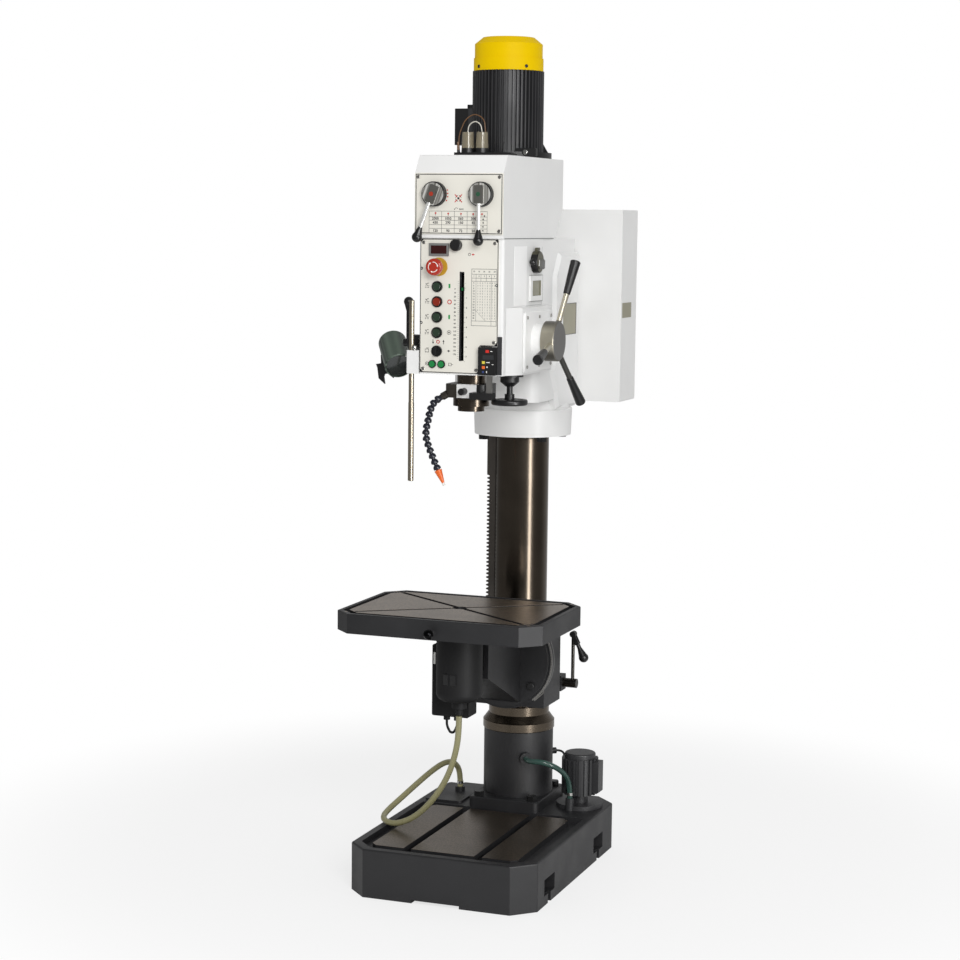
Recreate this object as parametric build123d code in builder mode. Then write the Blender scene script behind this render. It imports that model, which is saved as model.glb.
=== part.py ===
from build123d import *
import os
from math import cos, pi, radians, sin, tan

os.makedirs("parts", exist_ok=True)

# Millimetres. The column's axis is Z, the floor is Z = 0 and the operator stands at -Y.

# Clearances
fit = 0.05  # radial room of a piece held in a bore
run = 0.1  # radial room of a turning or sliding piece
gap = 0.5  # room between pieces that move past each other

# Base
base_w = 529.0
base_front = 642.0
base_back = 125.0
base_h = 131.0
base_chamfer = 57.0
base_round = 5.0
rim_w = 24.0
gutter_d = 16.0
bed_half_w = 207.0
bed_front = 592.0
bed_back = 150.0
bed_chamfer = 16.0
slot_offset = 100.0
slot_w = 22.0
slot_d = 13.0
tee_w = 36.0
tee_h = 11.0
tank_half_w = 212.0
tank_front = 100.0
tank_back = 100.0
tank_floor = 14.0
tank_roof = 18.0
under_half_w = 200.0
under_top = 84.0
under_front = 606.0
under_back = 130.0
rib_y = -370.0
rib_w = 20.0
notch_w = 134.0
notch_h = 8.0
pocket_w = 84.0
pocket_h = 44.0
pocket_d = 44.0
pocket_floor = 26.0
pocket_ys = (-489.0, -64.0)
anchor_d = 22.0
anchor_groove = 8.0

# Column and its foot
column_r = 75.0
column_wall = 14.0
column_top = 1700.0
foot_flange_w = 208.0
foot_flange_d = 240.0
foot_flange_t = 30.0
foot_flange_y = -10.0
foot_corner_r = 14.0
foot_r = 99.0
foot_h = 186.0
foot_seat = 10.0
port_up = 147.0
port_r = 16.0
port_len = 17.0
port_angle = -60.0
gland_angle = 37.0
gland_up = 137.0
ring_r = 102.0
ring_h = 26.0
ring_slope_h = 19.0
ring_neck_r = 86.0
ring_neck_h = 24.0
bolt_r = 9.0
bolt_head_r = 15.0
bolt_head_h = 13.0
bolt_inset = 24.0

# Rack
rack_out = 100.0
rack_w = 30.0
rack_module = 3.5
rack_tooth_d = 7.0

# Table arm
arm_bottom = 430.0
arm_top = 690.0
arm_r = 104.0
arm_half_w = 113.0
arm_back = 28.0
arm_block_top = 660.0
arm_face = 131.0
tilt_z = 568.0
tilt_r = 143.0
tilt_t = 18.0
split_w = 4.0
split_bottom = 540.0
lug_half_w = 28.0
lug_h = 50.0
lug_back = 148.0
clamp_bolt_y = 130.0
clamp_bolt_z = 604.0
clamp_bolt_r = 8.0
clamp_bolt_head_r = 13.0
clamp_bolt_head_h = 10.0
housing_wall = 8.0

# Lift drive in the table arm
lift_z = 510.0
pinion_r = 17.0
pinion_w = 28.0
pinion_teeth = 12
lift_shaft_r = 10.0
wheel_r = 35.0
wheel_w = 18.0
wheel_teeth = 24
wheel_y = 112.0
worm_r = 14.0
worm_len = 90.0
stub_r = 13.5
stub_x = 137.0
tunnel_end = 96.0
crank_x = 124.0
crank_r = 5.0
crank_len = 144.0
crank_eye_r = 9.0
crank_pin_r = 4.0
handle_dir = (33.0, 0.0, -68.0)
handle_len = 88.0
handle_rod_r = 6.0
handle_knob_len = 44.0
handle_knob_r = 14.0
fork_reach = 26.0
fork_t = 3.0

# Table
table_w = 570.4
table_front = 684.0
table_back = 276.4
table_top = 767.7
table_h = 52.2
table_chamfer = 48.0
table_round = 3.0
gutter_inset = 13.0
gutter_w = 15.0
table_gutter_d = 9.0
diag_slot_w = 14.0
diag_slot_d = 10.0
diag_tee_w = 24.0
diag_tee_h = 9.0
table_bore_r = 20.0
pocket_roof = 28.0
pocket_wall = 16.0
keel_half_w = 78.0
disc_r = 134.0
disc_t = 15.0
web_half_w = 54.0
web_wall = 14.0
web_low = 443.0
web_front_low = 566.0
web_bolt_r = 14.0
web_bolt_head_r = 24.0
web_bolt_head_h = 14.0
ball_r = 13.0
ball_stem_r = 5.0
ball_reach = 22.0
ball_drop = 33.0

# Catch pot and switch box under the table
pot_r = 62.0
pot_wall = 5.0
pot_bottom = 519.0
pot_round = 22.0
pot_flange_r = 74.0
pot_flange_t = 8.0
drain_r = 6.0
drain_nut_r = 20.0
drain_nut_h = 22.0
box_left = 96.0
box_front = 435.0
box_back = 375.0
box_top = 655.0
box_step = 505.0
box_bottom = 460.0
box_right = 10.0
gland_r = 9.0
gland_h = 15.0
gland_xs = (-64.0, -34.0)

# Head levels
flange_bottom = 1192.0
flange_low_r = 136.0
flange_top_r = 139.0
flange_h = 76.0
flange_step = 8.0
flare_h = 60.0
head_bottom = 1388.0
head_top = 1742.0
head_front = 510.0
head_left = 112.0
head_right = 122.0
head_wall = 12.0
head_right_wall = 16.0
head_floor = 14.0
cavity_back = 98.0
head_web = 16.0
head_round = 8.0
neck_half_w = 118.0
neck_front = 230.0
neck_back = 112.0
neck_round = 34.0
feedbox_right = 150.0
feedbox_front = 440.0
feedbox_back = 202.0
feedbox_top = 1563.0
ring_bolt_r = 121.0

# Gear case
case_half_w = 122.4
case_front = 518.0
case_back = 40.0
case_top = 1956.0
case_bevel_z = 1911.0
case_bevel_y = 488.0
case_step_z = 1817.0
case_step_y = 111.0
case_wall = 12.0
case_round = 5.0

# Front panels
panel_t = 3.3
upper_panel_half_w = 122.0
upper_panel_low = 1751.0
upper_panel_h = 158.0
lower_panel_half_w = 108.5
lower_panel_low = 1392.0
lower_panel_h = 348.0
notch_left = 60.0
notch_top = 1465.0
panel_land = 16.0
panel_land_low = 13.0
screw_r = 4.5
screw_h = 2.5
screw_in = 10.0
cover_screw_in = 15.0

# Controls on the lower panel
button_x = -59.5
button_zs = (1616.3, 1577.0, 1537.0, 1496.8)
button_r = 10.5
button_out = 9.0
button_in = 14.0
bezel_r = 14.5
bezel_t = 5.0
estop_x = -55.8
estop_z = 1667.5
estop_r = 22.0
estop_stem_r = 10.0
estop_plate_r = 24.0
estop_plate_t = 2.0
estop_lift = 12.0
estop_neck_r = 17.0
estop_cap_t = 28.0
selector_z = 1448.5
selector_r = 10.5
lamp_xs = (-71.7, -46.4)
lamp_z = 1414.5
pilot_r = 8.0
pilot_bezel_r = 10.6
pilot_bezel_t = 4.0
pilot_out = 6.0
display_x = -55.7
display_z = 1712.0
display_w = 55.0
display_h = 33.0
display_t = 4.0
display_edge = 6.0
knob_x = -6.3
knob_z = 1724.0
knob_r = 15.0
knob_t = 16.0
knob_stem_r = 4.0
depth_x = 11.0
depth_low = 1425.0
depth_top = 1655.0
depth_w = 8.0
depth_over = 20.0
slot_room = 1.0
pointer_z = 1611.0
pointer_r = 3.0
pointer_tab_w = 10.0
pointer_tab_h = 9.0
pointer_tab_t = 3.0

# Read-out beside the quill
dro_left = 62.0
dro_low = 1391.0
dro_top = 1463.0
dro_t = 22.0
strip_right = 120.0
strip_top = 1490.0
scale_x = 82.0
scale_w = 16.0
scale_t = 4.0
scale_y = -499.0
scale_top = 1640.0

# Speed levers on the gear case
lever_x = 64.5
lever_z = 1855.0
lever_disc_r = 32.0
lever_disc_t = 19.0
lever_shaft_r = 9.0
lever_shaft_in = 60.0
lever_bar_w = 22.0
lever_bar_h = 46.0
lever_bar_t = 11.0
lever_rod_r = 5.0
lever_rod_len = 90.0
lever_knob_len = 42.0
lever_knob_r = 13.5
left_lever_lean = 20.0

# Motor
motor_y = -155.0
motor_flange_r = 120.0
motor_flange_t = 16.0
motor_core_r = 86.0
motor_fin_r = 97.0
motor_fin_t = 3.0
motor_fins = 52
motor_h = 218.0
motor_bore_r = 60.0
motor_shield = 13.0
motor_shaft_r = 14.0
cowl_r = 94.5
cowl_wall = 2.5
cowl_h = 90.0
cowl_skirt_h = 34.0
cowl_skirt_step = 2.5
cowl_bevel = 22.0
cowl_bevel_h = 18.0
vents = 16
vent_in = 22.0
vent_edge = 6.0
vent_w = 5.0
terminal_w = 43.0
terminal_d = 90.0
terminal_h = 98.0
terminal_z = 1992.0
terminal_round = 8.0
terminal_gland_r = 10.0
terminal_gland_h = 12.0
rotor_r = 56.0
rotor_h = 130.0
fan_r = 80.0
fan_t = 22.0
fan_blades = 8

# Gear train
spindle_y = -413.5
layshaft_y = -255.0
motor_gear_r = 30.0
lay_big_r = 69.0
lay_small_r = 69.0
spindle_gear_r = 88.0
gear_t = 22.0
gear_low_z = 1792.0
gear_high_z = 1850.0
tooth_d = 5.0
motor_teeth = 18
motor_gear_room = 2.0
lay_teeth = 40
spindle_teeth = 51
lay_shaft_r = 15.0
lay_bearing_r = 31.0
sleeve_r = 25.0
sleeve_bearing_r = 42.0
bearing_t = 16.0
bearing_boss = 9.0

# Quill and spindle
quill_r = 38.0
quill_bearing_r = 31.0
quill_low = 1322.5
quill_top = 1632.0
quill_tube_r = 55.0
quill_tube_top = 1650.0
quill_rack_d = 4.0
quill_rack_pitch = 15.0
quill_rack_in = 60.0
quill_rack_half = 12.0
spindle_r = 17.0
spindle_low_r = 23.0
spindle_low_len = 130.0
spindle_room = 2.0
spindle_low = 1287.0
spindle_top = 1925.0
nose_r = 35.6
nose_bore_r = 15.5
nose_bore_d = 90.0
collar_r = 48.0
collar_h = 21.0
quill_bearing_t = 18.0

# Stop clamp, coolant hose
clamp_half_w = 58.0
clamp_front = 52.0
clamp_back = 46.0
clamp_low = 1324.0
clamp_h = 36.0
clamp_knob_r = 9.0
clamp_knob_out = 26.0
nipple_len = 18.0
nipple_in = 8.0
nipple_up = 10.0
scale_lug_front = 507.0
lug_wheel_gap = 5.0
hose_joint_pitch = 16.0
hose_ball_r = 7.5
hose_socket_r = 7.8
hose_skirt_r = 10.2
hose_bore_r = 3.6
hose_neck_r = 5.2
hose_y = -455.0
nozzle_r = 10.5
nozzle_len = 42.0
nozzle_neck = 6.0
nozzle_tip_len = 8.0
nozzle_tip_r = 3.8

# Feed drive
feed_y = -345.0
feed_z = 1474.0
feed_shaft_r = 14.0
feed_pinion_r = 29.0
feed_pinion_w = 32.0
feed_pinion_teeth = 18
feed_tail = 34.0
feed_wheel_x = 110.0
feed_wheel_r = 51.0
feed_wheel_w = 24.0
feed_wheel_teeth = 34
cover_t = 6.0
cover_set = 5.0
boss_r = 45.0
cover_top = 1552.0
cover_back = 212.0
cover_front = 432.0
neck_hub_r = 26.0
hub_r = 53.0
hub_out = 221.5
hub_t = 37.0
spoke_set = 18.0
spoke_r = 7.5
spoke_tilt = 8.5
spoke_angle = 69.6
grip_start = 132.0
grip_end = 226.0
grip_r = 9.5
grip_end_r = 14.0
hand_y = -420.0
hand_shaft_r = 8.0
hand_worm_r = 22.0
hand_worm_len = 84.0
hand_top = 1535.0
bush_plate_r = 36.0
bush_plate_t = 6.0
bush_r = 25.0
bush_h = 14.0
bush_tip_h = 12.0
bush_tip_r = 11.0
handwheel_z = 1307.0
handwheel_t = 15.0
handwheel_r = 48.0
handwheel_hub_r = 13.0
handwheel_hub_h = 14.0

# Side selector and window
side_sel_y = -274.0
side_sel_z = 1680.0
side_sel_r = 29.0
side_sel_t = 18.0
side_sel_shaft_r = 8.0
side_ball_r = 9.0
side_arm_r = 4.0
side_arm_len = 36.0
window_y = -262.0
window_z = 1610.0
window_w = 96.0
window_h = 70.0
window_t = 5.0
window_edge = 15.0

# Guard rod, lock lever and lamp on the left
guard_x = -136.5
guard_y = -500.0
guard_r = 7.0
guard_low_r = 7.6
guard_low = 1102.0
guard_step = 1310.0
guard_top = 1579.0
guard_block_w = 21.0
guard_block_low = 1387.0
guard_block_h = 61.0
quill_lock_y = -455.0
quill_lock_z = 1465.0
quill_lock_hub_r = 22.0
quill_lock_out = 160.0
quill_lock_tip = 176.0
quill_lock_boss_r = 10.0
quill_lock_shaft_r = 9.0
quill_lock_rod_r = 6.0
quill_lock_rod_top = 1548.0
quill_lock_knob_len = 38.0
quill_lock_knob_r = 13.0
lamp_x = -223.8
lamp_y = -400.0
lamp_centre_z = 1430.0
lamp_r = 38.0
lamp_len = 118.0
lamp_shell = 4.0
lamp_lens_set = 5.0
lamp_axis = (0.473, -0.724, -0.5015)
lamp_arm_r = 8.0
lamp_flange_r = 20.0
lamp_flange_t = 8.0
lamp_pin_r = 5.0
lamp_pin_len = 14.0
lamp_ear_t = 6.0
lamp_ear = (
    (-266, 1426),
    (-265, 1404),
    (-280, 1401),
    (-276, 1392),
    (-272, 1363),
    (-254, 1348),
    (-257, 1368),
    (-254, 1375),
    (-245, 1376),
    (-229, 1365),
    (-224, 1430),
)

# Cabinet
cabinet_half_w = 250.0
cabinet_d = 138.0
cabinet_low = 1281.0
cabinet_h = 541.0
cabinet_sheet = 3.0
cabinet_lip = 16.0
cabinet_round = 4.0
door_t = 8.0
hinge_r = 5.0
hinge_len = 60.0
hinge_zs = (1400.0, 1700.0)
latch_r = 11.0
plate_t = 3.0
relay_w = 48.0
relay_h = 78.0
relay_d = 62.0
relay_xs = (-130.0, -65.0, 0.0, 65.0, 130.0)
relay_zs = (1430.0, 1650.0)

# Oil cups on the gear case
cup_y = -300.0
cup_xs = (-60.0, -20.0)
cup_r = 18.0
cup_top_r = 15.0
cup_h = 54.0
cup_wall = 2.0
tray_left = 91.0
tray_right = 70.0
tray_d = 46.0
tray_t = 12.0
stud_xs = (-84.0, 46.0)
stud_r = 3.0
stud_h = 28.0

# Coolant pump
pump_x = 185.0
pump_y = 6.0
pump_plate_r = 66.0
pump_plate_t = 12.0
pump_stem_r = 24.0
pump_stem_h = 26.0
pump_core_r = 46.0
pump_rib_r = 52.0
pump_ribs = 20
pump_rib_t = 7.0
pump_body_h = 103.0
pump_cap_r = 44.0
pump_cap_h = 15.0
pump_wall = 8.0
pump_well_r = 30.0
pump_leg_r = 24.0
pump_leg_low = 22.0
pump_shaft_r = 6.0
pump_rotor_r = 30.0
pump_rotor_h = 70.0
impeller_r = 18.0
impeller_t = 12.0
outlet_side = 9.0
outlet_ahead = 62.0
outlet_r = 12.0
outlet_h = 35.0
pump_box_out = 10.0
pump_box_half = 22.0
pump_box_in = 8.0
pump_gland_up = 65.0

# Tank cover with hose fitting
cover_x = (-244.0, -134.0)
cover_y = (-112.0, 84.0)
tank_cover_t = 6.0
fitting_x = -180.0
fitting_y = 5.0
fitting_r = 14.0
fitting_h = 13.0

# Hoses and cables
drain_hose_r = 8.2
drain_wall = 1.6
supply_hose_r = 7.6
supply_wall = 1.5
pump_cable_r = 3.2
box_cable_r = 3.4
oil_line_r = 1.5
bend_share = 0.45

floor_up = (Align.CENTER, Align.CENTER, Align.MIN)
ahead = (Align.MIN, Align.CENTER)
below = (Align.MIN, Align.MAX)


def block(x0, x1, y0, y1, z0, z1, mode=Mode.ADD):
    """A box between two opposite corners."""
    with Locations(((x0 + x1) / 2, (y0 + y1) / 2, (z0 + z1) / 2)):
        Box(x1 - x0, y1 - y0, z1 - z0, mode=mode)


def post(x, y, z0, z1, radius, mode=Mode.ADD):
    """An upright round bar."""
    with Locations((x, y, z0)):
        Cylinder(radius, z1 - z0, align=floor_up, mode=mode)


def bar_x(x0, x1, y, z, radius, mode=Mode.ADD):
    """A round bar along X."""
    with Locations(Plane(origin=(x0, y, z), z_dir=(1, 0, 0))):
        Cylinder(radius, x1 - x0, align=floor_up, mode=mode)


def bar_y(x, y0, y1, z, radius, mode=Mode.ADD):
    """A round bar along Y."""
    with Locations(Plane(origin=(x, y0, z), z_dir=(0, 1, 0))):
        Cylinder(radius, y1 - y0, align=floor_up, mode=mode)


def bar(start, direction, length, radius, end_radius=None, mode=Mode.ADD):
    """A round or tapered bar from a point along a direction."""
    with Locations(Plane(origin=start, z_dir=direction)):
        if end_radius is None:
            Cylinder(radius, length, align=floor_up, mode=mode)
        else:
            Cone(radius, end_radius, length, align=floor_up, mode=mode)


def teardrop(start, direction, length, radius, stem_radius):
    """A knob that swells from its stem to a round end."""
    ball = Vector(start) + Vector(direction).normalized() * (length - radius)
    bar(start, direction, length - radius, stem_radius, radius)
    with Locations(tuple(ball)):
        Sphere(radius)


def gear_face(tip_radius, teeth):
    """The outline of a spur gear with straight-sided teeth."""
    root = tip_radius - tooth_d
    outline = []
    for step in range(teeth):
        turn = 2 * pi * step / teeth
        for share, radius in ((-0.3, root), (-0.14, tip_radius), (0.14, tip_radius), (0.3, root)):
            angle = turn + share * 2 * pi / teeth
            outline.append((radius * cos(angle), radius * sin(angle)))
    Polygon(*outline, align=None)


def bend_radii(points):
    """The largest bend that the two runs beside each inner point leave room for."""
    radii = []
    for before, here, after in zip(points, points[1:], points[2:]):
        run_in = Vector(here) - Vector(before)
        run_out = Vector(after) - Vector(here)
        half_turn = radians(run_in.get_angle(run_out)) / 2
        radii.append(bend_share * min(run_in.length, run_out.length) / tan(half_turn))
    return radii


def hose(name, points, radius, bore=0.0):
    """A tube along straight runs joined by tangent arcs."""
    radii = bend_radii(points)
    with BuildLine() as path:
        FilletPolyline(*points, radius=radii)
    start = Plane(origin=points[0], z_dir=Vector(points[1]) - Vector(points[0]))
    with BuildSketch(start) as section:
        Circle(radius)
        if bore:
            Circle(bore, mode=Mode.SUBTRACT)
    sweep(section.sketch, path=path.wires()[0])
    length = path.wires()[0].length
    area = pi * (radius**2 - bore**2)
    bends = [round(r) for r in radii]
    print(name, "length", round(length), "radii", bends, "area x length", round(area * length))


# Base: a cast foot with a coolant gutter round a machined bed
gutter_z = base_h - gutter_d
recess_back = -under_back
with BuildPart() as base:
    with BuildSketch():
        with Locations((0, (base_back - base_front) / 2)):
            Rectangle(base_w, base_front + base_back)
        chamfer(vertices(), base_chamfer)
    extrude(amount=base_h)
    fillet(edges().group_by(Axis.Z)[-1], base_round)
    fillet(edges().filter_by(Axis.Z), base_round)
    with BuildSketch(Plane.XY.offset(base_h)):
        with Locations((0, (recess_back - base_front + rim_w) / 2)):
            Rectangle(base_w - 2 * rim_w, base_front - rim_w + recess_back)
        chamfer(vertices().sort_by(Axis.Y)[:2], base_chamfer - rim_w / 2)
    extrude(amount=-gutter_d, mode=Mode.SUBTRACT)
    with BuildSketch(Plane.XY.offset(gutter_z)):
        with Locations((0, -(bed_front + bed_back) / 2)):
            Rectangle(2 * bed_half_w, bed_front - bed_back)
        chamfer(vertices(), bed_chamfer)
    extrude(amount=gutter_d)
    for side in (-1, 1):
        mid = side * slot_offset
        neck_x = (mid - slot_w / 2, mid + slot_w / 2)
        tee_x = (mid - tee_w / 2, mid + tee_w / 2)
        tee_top = base_h - slot_d
        block(*neck_x, -base_front + rim_w, -bed_back, tee_top, base_h, Mode.SUBTRACT)
        block(*tee_x, -bed_front, -bed_back, tee_top - tee_h, tee_top, Mode.SUBTRACT)
    block(-tank_half_w, tank_half_w, -tank_front, tank_back, tank_floor, base_h - tank_roof, Mode.SUBTRACT)
    block(-under_half_w, under_half_w, -under_front, rib_y - rib_w / 2, 0, under_top, Mode.SUBTRACT)
    block(-under_half_w, under_half_w, rib_y + rib_w / 2, -under_back, 0, under_top, Mode.SUBTRACT)
    block(-notch_w / 2, notch_w / 2, -base_front, -under_front, 0, notch_h, Mode.SUBTRACT)
    for side in (-1, 1):
        outer = side * base_w / 2
        inner = side * (base_w / 2 - pocket_d)
        bolt_x = side * (base_w - pocket_d) / 2
        for y in pocket_ys:
            span = (y - pocket_w / 2, y + pocket_w / 2)
            pocket_z = (pocket_floor, pocket_floor + pocket_h)
            block(min(outer, inner), max(outer, inner), *span, *pocket_z, Mode.SUBTRACT)
            post(bolt_x, y, 0, pocket_floor, anchor_d / 2, Mode.SUBTRACT)
            groove = (outer, outer - side * anchor_groove)
            block(min(groove), max(groove), y - anchor_d / 2, y + anchor_d / 2, 0, pocket_floor, Mode.SUBTRACT)
    post(pump_x, pump_y, base_h - tank_roof, base_h, pump_well_r, Mode.SUBTRACT)
    post(fitting_x, fitting_y, base_h - tank_roof, base_h, drain_hose_r, Mode.SUBTRACT)
base.part.label = "base"
export_step(base.part, "parts/base.step")

# Tank cover: a plate over the rear left of the tank, with the return hose's fitting
fitting_top = base_h + tank_cover_t + fitting_h
with BuildPart() as tank_cover:
    block(*cover_x, *cover_y, base_h, base_h + tank_cover_t)
    chamfer(edges().filter_by(Axis.Z), tank_cover_t)
    post(fitting_x, fitting_y, base_h + tank_cover_t, fitting_top, fitting_r)
    post(fitting_x, fitting_y, base_h, fitting_top, drain_hose_r - drain_wall, Mode.SUBTRACT)
tank_cover.part.label = "tank_cover"
export_step(tank_cover.part, "parts/tank_cover.step")

# Column foot: a sleeve on a square flange, with a hose port and a cable gland
foot_top = base_h + foot_flange_t + foot_h
port_z = base_h + port_up
gland_z = base_h + gland_up
port_dir = Vector(cos(radians(port_angle)), sin(radians(port_angle)), 0)
foot_gland_dir = Vector(cos(radians(gland_angle)), sin(radians(gland_angle)), 0)
flange_bolts = []
bolt_half_w = foot_flange_w / 2 - bolt_inset
bolt_half_d = foot_flange_d / 2 - bolt_inset
for bolt_x in (-bolt_half_w, bolt_half_w):
    for bolt_y in (foot_flange_y - bolt_half_d, foot_flange_y + bolt_half_d):
        flange_bolts.append((bolt_x, bolt_y))
with BuildPart() as column_foot:
    with Locations((0, foot_flange_y, base_h)):
        Box(foot_flange_w, foot_flange_d, foot_flange_t, align=floor_up)
    fillet(edges().filter_by(Axis.Z), foot_corner_r)
    chamfer(edges().group_by(Axis.Z)[-1], foot_flange_t / 10)
    post(0, 0, base_h + foot_flange_t, foot_top, foot_r)
    port_root = column_r + column_wall
    bar(port_dir * port_root + Vector(0, 0, port_z), port_dir, foot_r + port_len - port_root, port_r)
    bar(foot_gland_dir * column_r + Vector(0, 0, gland_z), foot_gland_dir, foot_r - column_r + gland_h, gland_r)
    post(0, 0, base_h + foot_seat, foot_top, column_r + fit, Mode.SUBTRACT)
    for x, y in flange_bolts:
        post(x, y, base_h, base_h + foot_flange_t, bolt_r + fit, Mode.SUBTRACT)
column_foot.part.label = "column_foot"
export_step(column_foot.part, "parts/column_foot.step")

# Column: a ground steel tube from the foot up into the head
with BuildPart() as column:
    post(0, 0, base_h + foot_seat, column_top, column_r)
    post(0, 0, base_h + foot_seat, column_top, column_r - column_wall, Mode.SUBTRACT)
column.part.label = "column"
export_step(column.part, "parts/column.step")

# Column ring: the collar that carries the foot of the rack
ring_band_top = foot_top + ring_h
ring_top = ring_band_top + ring_slope_h + ring_neck_h
with BuildPart() as column_ring:
    post(0, 0, foot_top, ring_band_top, ring_r)
    chamfer(edges().filter_by(GeomType.CIRCLE), ring_h / 12)
    with Locations((0, 0, ring_band_top)):
        Cone(ring_r - ring_h / 12, ring_neck_r, ring_slope_h, align=floor_up)
    post(0, 0, ring_band_top, ring_top, ring_neck_r)
    post(0, 0, foot_top, ring_top, column_r + fit, Mode.SUBTRACT)
column_ring.part.label = "column_ring"
export_step(column_ring.part, "parts/column_ring.step")

# Rack: a toothed bar that swings round the column with the table
rack_low = ring_top + gap
rack_high = flange_bottom - gap
rack_pitch = pi * rack_module
tooth_count = int((rack_high - rack_low) / rack_pitch) - 1
teeth_low = (rack_low + rack_high - tooth_count * rack_pitch) / 2
rack_outline = [(-column_r, rack_low), (-rack_out, rack_low)]
for tooth in range(tooth_count):
    foot_z = teeth_low + tooth * rack_pitch
    for share, depth in ((0.0, 0.0), (0.2, rack_tooth_d), (0.5, rack_tooth_d), (0.7, 0.0)):
        rack_outline.append((-rack_out + depth, foot_z + share * rack_pitch))
rack_outline += [(-rack_out, rack_high), (-column_r, rack_high)]
with BuildPart() as rack:
    with BuildSketch(Plane.XZ):
        Polygon(*rack_outline, align=None)
    extrude(amount=rack_w / 2, both=True)
    post(0, 0, rack_low, rack_high, column_r + gap, Mode.SUBTRACT)
rack.part.label = "rack"
export_step(rack.part, "parts/rack.step")

# Table arm: a split sleeve on the column with the tilt flange in front and the lift drive behind
pinion_x = -(rack_out + gap + pinion_r)
worm_z = lift_z - wheel_r - worm_r - gap
housing_left = pinion_x - wheel_r - 2 * gap - housing_wall
tunnel_half = worm_r + gap + housing_wall
arm_flange_back = -arm_face + tilt_t
with BuildPart() as table_arm:
    post(0, 0, arm_bottom, arm_top, arm_r)
    block(-arm_half_w, arm_half_w, arm_flange_back, arm_back, arm_bottom, arm_block_top)
    wheel_back = wheel_y + wheel_w / 2
    block(housing_left, -column_r, -pinion_w, wheel_back + housing_wall, worm_z, lift_z + wheel_r + housing_wall)
    tunnel_y = (wheel_y - tunnel_half, wheel_y + tunnel_half)
    block(housing_left, tunnel_end, *tunnel_y, worm_z - tunnel_half, worm_z + tunnel_half)
    block(-lug_half_w, lug_half_w, 0, lug_back, clamp_bolt_z - lug_h / 2, clamp_bolt_z + lug_h / 2)
    bar_y(0, -arm_face, arm_flange_back, tilt_z, tilt_r)
    post(0, 0, arm_bottom - tilt_r, arm_top, column_r + run, Mode.SUBTRACT)
    rack_way = rack_w / 2 + gap
    block(-rack_out - gap, -column_r + housing_wall, -rack_way, rack_way, arm_bottom, arm_top, Mode.SUBTRACT)
    block(-split_w / 2, split_w / 2, column_r, lug_back, split_bottom, arm_top, Mode.SUBTRACT)
    bar_x(-lug_half_w, lug_half_w, clamp_bolt_y, clamp_bolt_z, clamp_bolt_r + fit, Mode.SUBTRACT)
    bar_y(0, -arm_face, -column_r, tilt_z, web_bolt_r + run, Mode.SUBTRACT)
    bar_y(pinion_x, -pinion_w / 2 - gap, pinion_w / 2 + gap, lift_z, pinion_r + gap, Mode.SUBTRACT)
    bar_y(pinion_x, -pinion_w + housing_wall, wheel_back + gap, lift_z, lift_shaft_r + run, Mode.SUBTRACT)
    bar_y(pinion_x, wheel_back - wheel_w - gap, wheel_back + gap, lift_z, wheel_r + gap, Mode.SUBTRACT)
    worm_half = worm_len / 2 + gap
    bar_x(pinion_x - worm_half, pinion_x + worm_half, wheel_y, worm_z, worm_r + gap, Mode.SUBTRACT)
    bar_x(pinion_x, tunnel_end, wheel_y, worm_z, lift_shaft_r + run, Mode.SUBTRACT)

# Its clamp bolt draws the split sleeve onto the column
with BuildPart() as clamp_bolt:
    clamp_reach = lug_half_w + clamp_bolt_head_h
    bar_x(-clamp_reach, clamp_reach, clamp_bolt_y, clamp_bolt_z, clamp_bolt_r)
    for x in (-clamp_reach, lug_half_w):
        with BuildSketch(Plane(origin=(x, clamp_bolt_y, clamp_bolt_z), z_dir=(1, 0, 0))):
            RegularPolygon(clamp_bolt_head_r, 6)
        extrude(amount=clamp_bolt_head_h)
arm_group = Compound(children=[table_arm.part.solid(), clamp_bolt.part.solid()])
arm_group.label = "table_arm"
export_step(arm_group, "parts/table_arm.step")

# Lift gear: the rack pinion and worm wheel on one cross shaft
with BuildPart() as lift_gear:
    bar_y(pinion_x, -pinion_w + housing_wall + gap, wheel_y + wheel_w / 2, lift_z, lift_shaft_r)
    with BuildSketch(Plane(origin=(pinion_x, -pinion_w / 2, lift_z), z_dir=(0, 1, 0))):
        gear_face(pinion_r, pinion_teeth)
    extrude(amount=pinion_w)
    with BuildSketch(Plane(origin=(pinion_x, wheel_y - wheel_w / 2, lift_z), z_dir=(0, 1, 0))):
        gear_face(wheel_r, wheel_teeth)
    extrude(amount=wheel_w)
lift_gear.part.label = "lift_gear"
export_step(lift_gear.part, "parts/lift_gear.step")

# Lift shaft: the worm with a turned stub, and the crank arm that ends in an eye
crank_end = worm_z + crank_len
eye = (wheel_y - crank_r, wheel_y + crank_r)
with BuildPart() as lift_shaft:
    bar_x(pinion_x - worm_len / 2, pinion_x + worm_len / 2, wheel_y, worm_z, worm_r)
    bar_x(pinion_x, stub_x, wheel_y, worm_z, lift_shaft_r)
    bar_x(tunnel_end + gap, stub_x, wheel_y, worm_z, stub_r)
    post(crank_x, wheel_y, worm_z, crank_end, crank_r)
    bar_y(crank_x, *eye, crank_end, crank_eye_r)
    bar_y(crank_x, *eye, crank_end, crank_pin_r + run, Mode.SUBTRACT)
lift_shaft.part.label = "lift_shaft"
export_step(lift_shaft.part, "parts/lift_shaft.step")

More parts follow.
